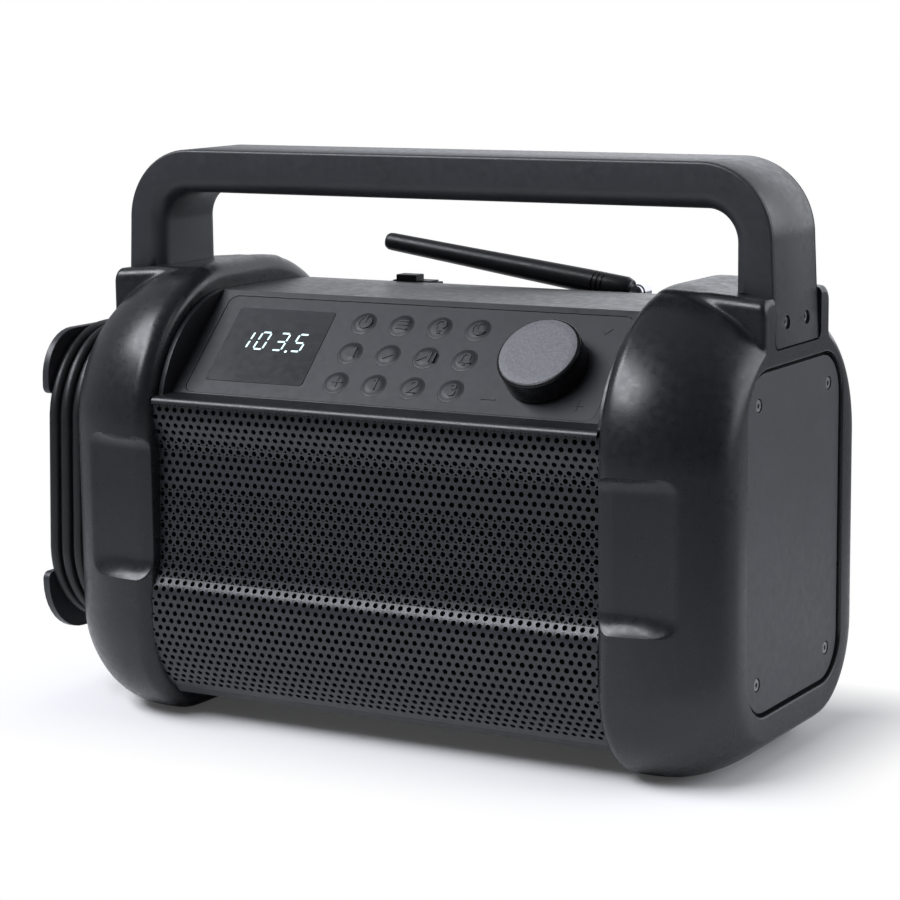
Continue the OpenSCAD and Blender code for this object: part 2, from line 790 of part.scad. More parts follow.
function drop(x, x0, x1, total) =
    let (d = max(0, x - x0), w = x1 - x0, r = (w * w + total * total) / (2 * total))
    r - sqrt(r * r - d * d);

// Stations from the inner edge to the end face: distance from the middle, half depth.
bumper_plan = concat(
    [for (a = [-42:14:-14]) [mid_x + roll_r * sin(a), bumper_y - roll_r * (1 - cos(a))]],
    [for (a = concat([90], [for (i = [0:6]) foot_turn + (plan_turn - foot_turn) * i / 6]))
        plan_c + plan_r * [cos(a), sin(a)]],
    [for (i = [1:4]) let (a = plan_turn * (1 - i / 4))
        [end_x - plan_fillet + plan_fillet * cos(a), end_y + plan_fillet * sin(a)]]
);

// One ring of the bumper's skin; the corner radii shrink as the section does.
function bumper_ring(p, n) =
    let (
        x = p[0],
        y = p[1],
        rolled = x < mid_x ? bumper_y - y : 0,
        w = x < mid_x ? 0 : (bumper_y - y) / (bumper_y - end_y),
        z1 = bumper_h - rolled - drop(x, mid_x, end_x, bumper_h - end_top),
        z0 = rolled + drop(x, mid_x + foot_half, end_x, end_bottom),
        rt = top_corner[0] * (1 - w) + top_corner[1] * w - rolled,
        rb = bottom_corner[0] * (1 - w) + bottom_corner[1] * w - rolled,
        half = concat(arc([y - rb, z0 + rb], rb, -90, 0, n), arc([y - rt, z1 - rt], rt, 0, 90, n))
    )
    [for (q = concat(half, flip(half))) [x, q[0], q[1]]];

module bumper_skin() {
    n = 10;
    rings = [for (p = bumper_plan) bumper_ring(p, n)];
    count = len(rings[0]);
    last = len(rings) - 1;
    polyhedron(
        points = [for (ring = rings, q = ring) q],
        faces = concat(
            [[for (i = [0:count - 1]) i]],
            [[for (i = [count - 1:-1:0]) last * count + i]],
            [for (k = [0:last - 1], i = [0:count - 1]) let (j = (i + 1) % count)
                each [[k * count + i, (k + 1) * count + i, (k + 1) * count + j],
                    [k * count + i, (k + 1) * count + j, k * count + j]]]
        )
    );
}

module boss_slice(x, top) {
    along_x(x, x + 0.1) translate([0, top - 30]) rounded(2 * boss_half, 60, boss_r);
}

module bumper() {
    slot_half = handle_y + 1.6;
    floor_y = -(bumper_y - pocket_depth);
    zc = (pocket_z0 + pocket_z1) / 2;
    zh = pocket_z1 - pocket_z0;
    difference() {
        union() {
            bumper_skin();
            hull() {
                boss_slice(mid_x, bumper_h);
                boss_slice(mid_x + 21, bumper_h);
                boss_slice(end_x - 0.1, bumper_h - 4);
            }
        }
        along_x(mid_x - roll_r, cavity_x) translate([0, (cavity_z0 + cavity_z1) / 2])
            rounded(2 * cavity_y, cavity_z1 - cavity_z0, cavity_r);
        along_x(plate_in, end_x + 1) translate([0, (plate_z0 + plate_z1) / 2])
            rounded(plate_d + 2 * plate_gap, plate_z1 - plate_z0 + 2 * plate_gap, plate_r + plate_gap);
        block([leg_in - slot_gap, end_x + 1], [-slot_half, slot_half], [leg_z - 0.2, bumper_h + 9]);
        translate([mid_x, floor_y, zc]) rotate([0, 0, pocket_tilt]) hull() {
            along_y(-0.1, 0) translate([-5, 1.3]) rounded(50, zh - 17.4, pocket_r);
            along_y(-14, -4.6) translate([0.5, 0]) rounded(59.4, zh, pocket_r);
        }
        for (y = [-1, 1], z = screw_z) bar_x(cavity_x - 1, plate_in + 1, y * screw_y, z, screw_r);
        for (y = [-1, 1]) bar_x(leg_in - slot_gap - insert_len, leg_in, y * handle_screw_y,
            handle_screw_z, insert_r);
    }
}

module left_bumper() {
    placed() color([0.24, 0.24, 0.26]) mirror([1, 0, 0]) bumper();
}

module right_bumper() {
    placed() color([0.24, 0.24, 0.26]) bumper();
}

module end_plate() {
    difference() {
        along_x(plate_in, plate_out) translate([0, (plate_z0 + plate_z1) / 2])
            rounded(plate_d, plate_z1 - plate_z0, plate_r);
        for (y = [-1, 1], z = screw_z) {
            bar_x(plate_in - 1, plate_out, y * screw_y, z, screw_r + 0.2);
            bar_x(plate_out - 2, plate_out + 1, y * screw_y, z, head_r + 0.5);
        }
    }
}

module right_end_plate() {
    placed() color([0.42, 0.42, 0.43]) end_plate();
}

module left_end_plate() {
    placed() color([0.42, 0.42, 0.43]) mirror([1, 0, 0]) difference() {
        end_plate();
        bar_x(plate_in - 1, plate_out + 1, 0, gland_z, 6 + fit);
    }
}

module end_plate_screws() {
    placed() color("silver") both_sides() for (y = [-1, 1], z = screw_z) difference() {
        union() {
            bar_x(plate_in - 8, plate_out - 1.9, y * screw_y, z, screw_r);
            bar_x(plate_out - 2, plate_out - 0.4, y * screw_y, z, head_r);
        }
        translate([plate_out - 1.4, y * screw_y, z]) rotate([0, 90, 0]) cylinder(h = 2, r = 1.3, $fn = 6);
    }
}

// ---------- cord winder ----------

function loop_outline(grow) =
    let (half = concat(
        arc(loop_bottom_c, loop_bottom_r + grow, -90, 0, 14),
        arc(loop_top_c, loop_top_r + grow, 0, 90, 14)
    ))
    concat(half, flip(half));

// The band that the turns rest on, cut at a height and short of the cord's free ends behind.
module saddle(cut, upper) {
    along_x(-hook_in - eps, -plate_out) intersection() {
        difference() {
            polygon(loop_outline(-cord_r - slack));
            polygon(loop_outline(-cord_r - slack - saddle_t));
        }
        translate([cut[1] - 200, upper ? cut[0] : cut[0] - 100]) square([200, 100]);
    }
}

module hook_flange(half, z, r) {
    side = concat(
        arc([half - r[0], z[0] + r[0]], r[0], -90, 0, 10),
        arc([half - r[1], z[1] - r[1]], r[1], 0, 90, 10)
    );
    along_x(-hook_out, -hook_in) polygon(concat(side, flip(side)));
}

module upper_cord_hook() {
    placed() color([0.2, 0.2, 0.21]) {
        hook_flange(upper_hook_half, upper_hook_z, upper_hook_r);
        saddle(upper_saddle, true);
    }
}

module lower_cord_hook() {
    placed() color([0.2, 0.2, 0.21]) {
        hook_flange(lower_hook_half, lower_hook_z, lower_hook_r);
        saddle(lower_saddle, false);
    }
}

module cord_winding() {
    placed() color([0.08, 0.08, 0.08]) along_x(-winding_out, -winding_in) difference() {
        polygon(loop_outline(cord_r));
        polygon(loop_outline(-cord_r));
    }
}

// A cord swept along a list of points with rings of 10 corners.
function unit(v) = v / norm(v);
function heading(p, i) = unit(p[min(i + 1, len(p) - 1)] - p[max(i - 1, 0)]);
function cord_ring(c, t, r, n) =
    let (side = unit(cross(t, [1, 0, 0])), up = cross(side, t))
    [for (k = [0:n - 1]) c + r * (cos(360 * k / n) * side + sin(360 * k / n) * up)];

module cord_along(p) {
    n = 10;
    last = len(p) - 1;
    polyhedron(
        points = [for (i = [0:last]) each cord_ring(p[i], heading(p, i), cord_r, n)],
        faces = concat(
            [[for (k = [0:n - 1]) k]],
            [[for (k = [n - 1:-1:0]) last * n + k]],
            [for (i = [0:last - 1], k = [0:n - 1]) let (m = (k + 1) % n)
                each [[i * n + k, (i + 1) * n + k, (i + 1) * n + m],
                    [i * n + k, (i + 1) * n + m, i * n + m]]]
        )
    );
}

module cord_lead() {
    placed() color([0.08, 0.08, 0.08]) cord_along(lead_route);
}

module cord_tail() {
    placed() color([0.08, 0.08, 0.08]) cord_along(tail_route);
}

module relief(y0, y1, x, z) {
    translate([x, y0, z]) rotate([-90, 0, 0]) rotate_extrude() polygon([
        [0, 0], [cord_r + 2, 0], [cord_r + 0.8, y1 - y0], [0, y1 - y0]
    ]);
}

module cord_gland() {
    placed() color([0.1, 0.1, 0.1]) {
        bar_x(-plate_out - 1, -plate_in, 0, gland_z, 6);
        block([gland_x - 6.5, -plate_out], [-9, 7], [gland_z - 7.5, gland_z + 7.5]);
        relief(7 - eps, gland_end, gland_x, gland_z);
    }
}

module power_plug() {
    placed() color([0.1, 0.1, 0.1]) {
        translate([gland_x, 0, plug_z]) {
            block([-plug_t / 2, plug_t / 2], [-38, -14], [-17.5, 17.5]);
            block([-plug_t / 2, plug_t / 2], [-14 - eps, 0], [-11, 11]);
            for (z = [-9.3, 9.3]) bar_y(-57, -37.9, 0, z, 2);
        }
        relief(-eps, plug_end, gland_x, plug_z);
    }
}

// ---------- handle ----------

function handle_outer(grow) =
    let (
        c = [leg_x - leg_slope * (handle_top - handle_r - leg_z) - handle_r, handle_top - handle_r],
        half = concat([[leg_x + grow, leg_z]], arc(c, handle_r + grow, 0, 90, 10))
    )
    concat(half, flip(half));

function handle_inner() =
    let (half = concat(
        [[leg_in, leg_z], [leg_in, bumper_h], [leg_in - leg_taper, bumper_h + 15]],
        arc([leg_in - leg_taper - handle_inner_r, grip_z - handle_inner_r], handle_inner_r, 0, 90, 6)
    ))
    concat(half, flip(half));

module handle_shape() {
    difference() {
        polygon(handle_outer(0));
        polygon(concat([[leg_in, leg_z - 1]], handle_inner(), [[-leg_in, leg_z - 1]]));
    }
}

module strap_shape(t) {
    difference() {
        polygon(handle_outer(1));
        polygon(handle_outer(-t));
        translate([-300, 0]) square([600, bumper_h + 3]);
    }
}

module handle_core() {
    placed() color([0.2, 0.2, 0.22]) difference() {
        along_y(-handle_y, handle_y) handle_shape();
        along_y(-handle_y + 1.2, handle_y - 1.2) strap_shape(cover_t);
        both_sides() for (y = [-1, 1]) {
            bar_x(leg_in - 3, leg_x + 1, y * handle_screw_y, handle_screw_z, screw_r + 0.3);
            bar_x(leg_x - 2.6, leg_x + 1, y * handle_screw_y, handle_screw_z, head_r + 0.4);
        }
    }
}

module handle_cover() {
    placed() color([0.26, 0.26, 0.28]) along_y(-handle_y + 1.5, handle_y - 1.5) intersection() {
        polygon(handle_outer(0));
        strap_shape(cover_t);
    }
}

module handle_screws() {
    placed() color("silver") both_sides() for (y = [-1, 1]) difference() {
        union() {
            bar_x(leg_in - insert_len + 1, leg_x - 2.5, y * handle_screw_y, handle_screw_z, screw_r);
            bar_x(leg_x - 2.6, leg_x - 1, y * handle_screw_y, handle_screw_z, head_r);
        }
        translate([leg_x - 2, y * handle_screw_y, handle_screw_z]) rotate([0, 90, 0])
            cylinder(h = 2, r = 1.3, $fn = 6);
    }
}

module handle_inserts() {
    x0 = leg_in - slot_gap - insert_len;
    placed() color("goldenrod") both_sides() for (y = [-1, 1]) difference() {
        bar_x(x0, leg_in - slot_gap, y * handle_screw_y, handle_screw_z, insert_r);
        bar_x(x0 - 1, leg_in, y * handle_screw_y, handle_screw_z, screw_r);
    }
}

// ---------- antenna ----------

module antenna_base() {
    placed() color("silver") translate([antenna_x, antenna_y, 0]) {
        translate([0, 0, seat_z + 0.1]) cylinder(h = 1, r = swivel_r);
        translate([0, 0, seat_z - 11.4]) cylinder(h = 12, r = swivel_pin_r);
        translate([0, 0, seat_z - 11.6]) cylinder(h = 1.5, r = swivel_head_r);
        for (y = [-5.6, 3.1]) {
            block([-3.5, 3.5], [y, y + 2.5], [seat_z + 1, pivot_z]);
            bar_y(y, y + 2.5, 0, pivot_z, 3.5);
        }
        bar_y(-5.6, 5.6, 0, pivot_z, pin_r);
    }
}

module folded() {
    translate([antenna_x, antenna_y, pivot_z]) rotate([0, antenna_rest, 0]) rotate([0, -90, 0]) children();
}

module antenna_knuckle() {
    placed() color("silver") folded() difference() {
        union() {
            rotate([90, 0, 0]) translate([0, 0, -2.9]) cylinder(h = 5.8, r = 4);
            translate([0, 0, 2]) cylinder(h = 28, r = mast_rod_r);
        }
        rotate([90, 0, 0]) translate([0, 0, -4]) cylinder(h = 8, r = pin_r + 0.05);
    }
}

module antenna_mast() {
    placed() color([0.07, 0.07, 0.07]) folded() difference() {
        rotate_extrude() polygon([
            [0, mast_z], [4.9, mast_z], [6.1, mast_z + 2.6], [6.1, 30], [5.8, 41], [5.2, 54],
            [4.8, 67], [4.5, 84], [4.4, antenna_len - 3], [3.7, antenna_len - 0.9],
            [2.4, antenna_len], [0, antenna_len]
        ]);
        translate([0, 0, mast_z - 1]) cylinder(h = 31 - mast_z, r = mast_rod_r);
    }
}

// ---------- screws ----------

module cabinet_screws() {
    placed() color("silver") for (x = foot_screw_x) translate([x, split_y + 6, floor_z]) difference() {
        union() {
            translate([0, 0, 0.3]) cylinder(h = 1.2, r = head_r);
            translate([0, 0, 0.3]) cylinder(h = wall + 6, r = screw_r);
        }
        cylinder(h = 1.2, r = 1.3, $fn = 6);
    }
}

front_cabinet();
rear_cabinet();
speaker_grille();
bottom_trim();
control_panel();
keypad_membrane();
key(0, 0);  // button_power
key(1, 0);  // button_mode
key(2, 0);  // button_light
key(3, 0);  // button_snooze
key(0, 1);  // button_previous
key(1, 1);  // button_tune
key(2, 1);  // button_play_pause
key(3, 1);  // button_alarm
key(0, 2);  // button_preset_plus
key(1, 2);  // button_preset_1
key(2, 2);  // button_preset_2
key(3, 2);  // button_preset_3
display_window();
display_module();
volume_knob();
knob_cap();
encoder_shaft();
rotary_encoder();
keypad_board();
main_board();
speaker_frame(-speaker_pitch / 2);  // speaker_frame_left
speaker_frame(speaker_pitch / 2);  // speaker_frame_right
speaker_cone(-speaker_pitch / 2);  // speaker_cone_left
speaker_cone(speaker_pitch / 2);  // speaker_cone_right
battery_box();
rear_door();
door_hinge_pin();
door_latch();
power_supply_board();
transformer();
left_end_frame();
right_end_frame();
left_bumper();
right_bumper();
left_end_plate();
right_end_plate();
upper_cord_hook();
lower_cord_hook();
end_plate_screws();
handle_core();
handle_cover();
handle_screws();
handle_inserts();
cord_gland();
cord_lead();
cord_winding();
cord_tail();
power_plug();
antenna_base();
antenna_knuckle();
antenna_mast();
usb_socket();
aux_jack();
cabinet_screws();
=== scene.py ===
import math

import bmesh
import bpy
import numpy as np
from mathutils import Matrix, Vector


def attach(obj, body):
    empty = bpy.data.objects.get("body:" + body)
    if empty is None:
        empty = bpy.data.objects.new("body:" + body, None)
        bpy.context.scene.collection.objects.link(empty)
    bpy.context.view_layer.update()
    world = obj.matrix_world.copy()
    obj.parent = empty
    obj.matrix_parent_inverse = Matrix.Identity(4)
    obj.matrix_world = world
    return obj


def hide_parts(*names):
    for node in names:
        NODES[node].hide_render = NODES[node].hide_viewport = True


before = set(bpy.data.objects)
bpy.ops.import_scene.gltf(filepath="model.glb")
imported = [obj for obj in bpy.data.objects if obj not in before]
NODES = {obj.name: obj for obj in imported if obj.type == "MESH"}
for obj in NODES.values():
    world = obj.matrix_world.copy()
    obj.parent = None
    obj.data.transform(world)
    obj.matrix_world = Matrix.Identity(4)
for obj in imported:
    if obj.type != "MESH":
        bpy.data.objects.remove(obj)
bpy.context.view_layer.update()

# Everything below is written in millimetres, with X measured from the middle of the cabinet.
MM = 0.001
# The origin lies under the middle of the whole model, so the cabinet stands this far to the right.
SHIFT_X = 14.5


def place(p):
    """A point in millimetres, from the middle of the cabinet, to metres in the shared frame."""
    return ((p[0] + SHIFT_X) * MM, p[1] * MM, p[2] * MM)


# ---------------------------------------------------------------- camera

CAMERA_AZIMUTH = 29.915
CAMERA_ELEVATION = 9.491
CAMERA_ROLL = -0.631
CAMERA_DISTANCE = 1340.26
CAMERA_TARGET = (-4.957, 0.0, 132.39)
CAMERA_FOCAL_PX = 2734.09
IMAGE_PX = 900
SENSOR_MM = 36.0


def make_camera():
    az, el, roll = (math.radians(a) for a in (CAMERA_AZIMUTH, CAMERA_ELEVATION, CAMERA_ROLL))
    back = Vector((math.sin(az) * math.cos(el), -math.cos(az) * math.cos(el), math.sin(el)))
    right = Vector((math.cos(az), math.sin(az), 0))
    up = back.cross(right)
    r = right * math.cos(roll) + up * math.sin(roll)
    u = up * math.cos(roll) - right * math.sin(roll)
    data = bpy.data.cameras.new("camera")
    data.sensor_width = SENSOR_MM
    data.lens = CAMERA_FOCAL_PX / IMAGE_PX * SENSOR_MM
    data.clip_start, data.clip_end = 0.05, 50
    camera = bpy.data.objects.new("camera", data)
    bpy.context.scene.collection.objects.link(camera)
    at = Vector(place(CAMERA_TARGET)) + back * CAMERA_DISTANCE * MM
    camera.matrix_world = Matrix(
        ((r.x, u.x, back.x, at.x), (r.y, u.y, back.y, at.y), (r.z, u.z, back.z, at.z), (0, 0, 0, 1))
    )
    bpy.context.scene.camera = camera


make_camera()


# ---------------------------------------------------------------- materials


def linear(hex_colour):
    """An sRGB colour such as "3f4044" to linear RGB."""
    parts = [int(hex_colour[i : i + 2], 16) / 255 for i in (0, 2, 4)]
    return [c / 12.92 if c <= 0.04045 else ((c + 0.055) / 1.055) ** 2.4 for c in parts]


def link(tree, source, target):
    tree.links.new(source, target)


def noise(tree, coords, scale, detail):
    node = tree.nodes.new("ShaderNodeTexNoise")
    node.inputs["Scale"].default_value = scale
    node.inputs["Detail"].default_value = detail
    link(tree, coords, node.inputs["Vector"])
    return node.outputs["Fac"]


def spread(tree, value, low, high, from_low=0.3, from_high=0.7):
    node = tree.nodes.new("ShaderNodeMapRange")
    node.inputs["From Min"].default_value = from_low
    node.inputs["From Max"].default_value = from_high
    node.inputs["To Min"].default_value = low
    node.inputs["To Max"].default_value = high
    link(tree, value, node.inputs["Value"])
    return node.outputs["Result"]


def vector_math(tree, operation, a, b=None):
    """A vector operation on a socket and, where it takes two, a constant."""
    node = tree.nodes.new("ShaderNodeVectorMath")
    node.operation = operation
    link(tree, a, node.inputs[0])
    if b is not None:
        node.inputs[1].default_value = b
    return node.outputs["Value" if operation in ("LENGTH", "DOT_PRODUCT") else "Vector"]


def mix_shaders(tree, share, a, b):
    node = tree.nodes.new("ShaderNodeMixShader")
    for source, target in zip((share, a, b), node.inputs):
        link(tree, source, target)
    return node.outputs["Shader"]


def ramp(tree, value, stops):
    node = tree.nodes.new("ShaderNodeValToRGB")
    elements = node.color_ramp.elements
    while len(elements) < len(stops):
        elements.new(0.5)
    for element, (position, colour) in zip(elements, stops):
        element.position = position
        element.color = (*colour, 1)
    link(tree, value, node.inputs["Fac"])
    return node.outputs["Color"]


def bump(tree, height, strength, distance):
    node = tree.nodes.new("ShaderNodeBump")
    node.inputs["Strength"].default_value = strength
    node.inputs["Distance"].default_value = distance
    link(tree, height, node.inputs["Height"])
    return node.outputs["Normal"]


def surface(
    name,
    colour,
    rough=0.5,
    rough_spread=0.06,
    tint=0.08,
    mottle=45,
    grain=1500,
    grain_depth=0.00006,
    grain_strength=0.3,
    specular=0.5,
    metallic=0.0,
):
    """A moulded surface: broad mottling in its colour, uneven gloss and a fine grain."""
    material = bpy.data.materials.new(name)
    material.use_nodes = True
    tree = material.node_tree
    shader = tree.nodes["Principled BSDF"]
    coords = tree.nodes.new("ShaderNodeTexCoord").outputs["Object"]
    base = linear(colour)
    dark = [c * (1 - tint) for c in base]
    light = [c * (1 + tint) for c in base]
    mottling = ramp(tree, noise(tree, coords, mottle, 4), [(0.3, dark), (0.7, light)])
    link(tree, mottling, shader.inputs["Base Color"])
    gloss = noise(tree, coords, mottle * 6, 3)
    link(tree, spread(tree, gloss, rough - rough_spread, rough + rough_spread), shader.inputs["Roughness"])
    link(
        tree,
        bump(tree, noise(tree, coords, grain, 2), grain_strength, grain_depth),
        shader.inputs["Normal"],
    )
    shader.inputs["Specular IOR Level"].default_value = specular
    shader.inputs["Metallic"].default_value = metallic
    return material


LOOKS = {
    "bumper_rubber": dict(colour="1c1d20", rough=0.31, grain=2200, grain_depth=0.00004),
    "cabinet_plastic": dict(colour="1f2023", rough=0.34, grain=1800),
    "panel_plastic": dict(colour="222326", rough=0.38, grain=1800),
    "grille_metal": dict(colour="292a2e", rough=0.34, metallic=0.0, grain=2600),
    "keypad_rubber": dict(colour="2a2b2f", rough=0.5, specular=0.45, grain=3000),
    "knob_plastic": dict(colour="0b0c0e", rough=0.28, specular=0.4, grain=2500, grain_depth=0.00002),
    "knob_cap_plastic": dict(
        colour="6c6d71", rough=0.55, tint=0.2, mottle=900, grain=1100, grain_depth=0.0002, grain_strength=0.7
    ),
    "steel": dict(colour="9b9c9f", rough=0.35, metallic=1.0, grain=1200),
    "brass": dict(colour="b08d4a", rough=0.3, metallic=1.0),
    "chrome": dict(
        colour="e6e7ea", rough=0.08, rough_spread=0.03, metallic=1.0, grain=400, grain_depth=0.00001
    ),
    "circuit_board": dict(colour="1d4a2a", rough=0.4),
    "speaker_metal": dict(colour="2c2d30", rough=0.45, metallic=0.6),
    "speaker_paper": dict(colour="141416", rough=0.85, grain=700, grain_depth=0.0003),
    "inner_plastic": dict(colour="26272a", rough=0.6),
    "display_plastic": dict(colour="1a1b1d", rough=0.5),
    "hook_plastic": dict(colour="2c2d31", rough=0.4, grain=2000),
    "handle_plastic": dict(colour="2f3034", rough=0.42, grain=2200),
    "handle_strap": dict(colour="2b2c30", rough=0.33, grain=2400),
    "end_plate": dict(colour="3d3e42", rough=0.42, grain=2000),
    "cord_rubber": dict(colour="121315", rough=0.42, grain=2500),
    "antenna_rubber": dict(colour="121315", rough=0.4, grain=2500),
    "antenna_plastic": dict(colour="1c1d1f", rough=0.4),
    # Painted shade: a near-black sheet behind the grille that darkens the holes.
    "hole_shade": dict(colour="050506", rough=0.95, specular=0.1, grain=3500, grain_depth=0.0003),
}
M = {name: surface(name, **look) for name, look in LOOKS.items()}


# ---------------------------------------------------------------- mesh helpers


def mesh_piece(name, points, faces, material, body="housing", sharp=35):
    """A mesh object from points in millimetres, shaded smooth with edges sharper than an angle."""
    mesh = bpy.data.meshes.new(name)
    mesh.from_pydata([place(p) for p in points], [], [tuple(f) for f in faces])
    mesh.validate()
    mesh.polygons.foreach_set("use_smooth", [True] * len(mesh.polygons))
    mesh.set_sharp_from_angle(angle=math.radians(sharp))
    obj = bpy.data.objects.new(name, mesh)
    bpy.context.scene.collection.objects.link(obj)
    mesh.materials.append(material)
    if body:
        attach(obj, body)
    return obj


def rings_to_faces(rows, count, closed=True):
    faces = []
    for i in range(rows - 1):
        for j in range(count if closed else count - 1):
            k = (j + 1) % count
            faces.append((i * count + j, i * count + k, (i + 1) * count + k, (i + 1) * count + j))
    return faces


def fix_normals(obj):
    """Turns all faces outward."""
    bm = bmesh.new()
    bm.from_mesh(obj.data)
    bmesh.ops.recalc_face_normals(bm, faces=bm.faces)
    bm.to_mesh(obj.data)
    bm.free()


def revolve(name, profile, origin, axis, material, body, segments):
    """A lathe-turned piece. Profile points are (radius, distance along the axis), in millimetres."""
    n = Vector(axis).normalized()
    e1 = n.orthogonal().normalized()
    e2 = n.cross(e1)
    o = Vector(origin)
    points = []
    for radius, along in profile:
        for k in range(segments):
            a = 2 * math.pi * k / segments
            points.append(o + n * along + (e1 * math.cos(a) + e2 * math.sin(a)) * radius)
    faces = rings_to_faces(len(profile), segments)
    last = (len(profile) - 1) * segments
    faces.append(tuple(range(segments))[::-1])
    faces.append(tuple(last + k for k in range(segments)))
    obj = mesh_piece(name, points, faces, material, body)
    fix_normals(obj)
    return obj


def arc(cx, cy, r, a0, a1, n):
    angles = [math.radians(a0 + (a1 - a0) * i / n) for i in range(n + 1)]
    return [(cx + r * math.cos(a), cy + r * math.sin(a)) for a in angles]


# ---------------------------------------------------------------- mains cord on its winder

CORD_D = 6.0
LOOP_TOP = (16.0, 141.0, 45.0)
LOOP_BOTTOM = (23.7, 78.0, 40.0)
TURN_X = -185.0
TURN_PITCH = 7.4
TURNS = 3
GLAND = (-183.5, 31.0, 130.0)
LEAD_R = 24.0
TAIL_R = 26.0
PLUG = (-183.5, 24.0, 91.8)


def smooth(t):
    t = min(1.0, max(0.0, t))
    return t * t * (3 - 2 * t)


def cord_points():
    ty, tz, tr = LOOP_TOP
    by, bz, br = LOOP_BOTTOM
    join = math.degrees(math.asin((GLAND[2] + LEAD_R - tz) / (tr - LEAD_R)))
    lead_y = ty + (tr - LEAD_R) * math.cos(math.radians(join))
    leave = math.degrees(math.asin((PLUG[2] - TAIL_R - bz) / (br - TAIL_R)))
    tail_y = by + (br - TAIL_R) * math.cos(math.radians(leave))
    tail_z = bz + (br - TAIL_R) * math.sin(math.radians(leave))
    path = [GLAND]
    lead = arc(lead_y, GLAND[2] + LEAD_R, LEAD_R, -90, join, 16)
    for i, (y, z) in enumerate(lead):
        path.append((GLAND[0] + (TURN_X - GLAND[0]) * smooth(i / 16), y, z))
    for turn in range(TURNS):
        x = TURN_X - TURN_PITCH * turn
        start = join if turn == 0 else 0
        flat = arc(ty, tz, tr, start, 90, 10)[1:] + arc(-ty, tz, tr, 90, 180, 14)
        flat += arc(-by, bz, br, 180, 270, 14)
        if turn < TURNS - 1:
            flat += arc(by, bz, br, 270, 360, 14)
            path += [(x, y, z) for y, z in flat]
            for i in range(1, 13):
                t = i / 12
                y = by + br + (ty + tr - by - br) * t
                path.append((x - TURN_PITCH * smooth(t), y, bz + (tz - bz) * t))
        else:
            flat += arc(by, bz, br, 270, 360 + leave, 6)
            path += [(x, y, z) for y, z in flat]
    tail = arc(tail_y, tail_z, TAIL_R, leave, 90, 22)[1:] + [(tail_y - 4, PLUG[2]), (PLUG[1], PLUG[2])]
    lengths = [0.0]
    for a, b in zip([path[-1][1:]] + tail, tail):
        lengths.append(lengths[-1] + math.dist(a, b))
    free = 8.0
    for (y, z), s in zip(tail, lengths[1:]):
        t = smooth((s - free) / (lengths[-1] - free))
        path.append((x + (PLUG[0] - x) * t, y, z))
    return path


def make_cord():
    points = cord_points()
    curve = bpy.data.curves.new("mains_cord", "CURVE")
    curve.dimensions = "3D"
    spline = curve.splines.new("POLY")
    spline.points.add(len(points) - 1)
    for q, p in zip(spline.points, points):
        q.co = (*place(p), 1)
    curve.bevel_depth = CORD_D / 2 * MM
    curve.bevel_resolution = 8
    curve.materials.append(M["cord_rubber"])
    obj = bpy.data.objects.new("mains_cord", curve)
    bpy.context.scene.collection.objects.link(obj)
    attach(obj, "housing")
    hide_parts("cord_lead", "cord_winding", "cord_tail")


make_cord()


# ---------------------------------------------------------------- bumpers

MID_X, END_X = 128.5, 178.0
HALF_DEPTH = 94.0
PLAN_R, PLAN_FILLET, ROLL_R = 66.0, 20.0, 8.0
BUMPER_TOP, END_TOP, END_BOTTOM = 222.0, 199.5, 16.0
FOOT_X = 138.8
TOP_CORNER, BOTTOM_CORNER = (76.0, 50.0), (46.5, 37.5)
BOSS_HALF, BOSS_R, BOSS_FALL_X, BOSS_FALL = 38.3, 5.5, 149.5, 2.2
BOSS_TOP = 220.2
BOSS_BLEND = 2.0
BOSS_EDGE = 3.0
# Heights above which the top outline and the boss count, and a distance that is never nearest.
WAIST_Z, BOSS_FROM_Z, FAR = 100, 150, 1e3
POCKET_Z0, POCKET_Z1 = 73.2, 144.1
POCKET_FLOOR_Z0, POCKET_FLOOR_Z1 = 84.2, 136.7
POCKET_DEPTH, POCKET_TILT, POCKET_R = 4.5, 5.6, 10.0
# The pocket's floor turns away towards the grille on a wide arc.
POCKET_ROLL_R = 40.0
POCKET_LENGTH, POCKET_SIDE, COVE_POWER = 30.2, 3, 2.3
RAY_Z = 110.0
ROW_LOW, ROW_HIGH = 60.0, 165.0
PLATE_HALF, PLATE_Z0, PLATE_Z1, PLATE_R, PLATE_GAP = 53.4, 30.2, 185.4, 20.0, 1.8
RECESS_X = 172.5
# The recess's rounded edge: (wider than the recess by, depth below the end face).
RECESS_EDGE = ((1.0, 0.0), (0.5, 0.12), (0.15, 0.45), (0.0, 1.0), (0.0, END_X - RECESS_X))
SLOT_X, SLOT_HALF, SLOT_Z, SLOT_R = 160.4, 27.1, 194.1, 4.5
CUTTER_TOP = 240


def drop(x, x0, x1, total):
    d, w = max(0.0, x - x0), x1 - x0
    r = (w * w + total * total) / (2 * total)
    return r - math.sqrt(r * r - d * d)


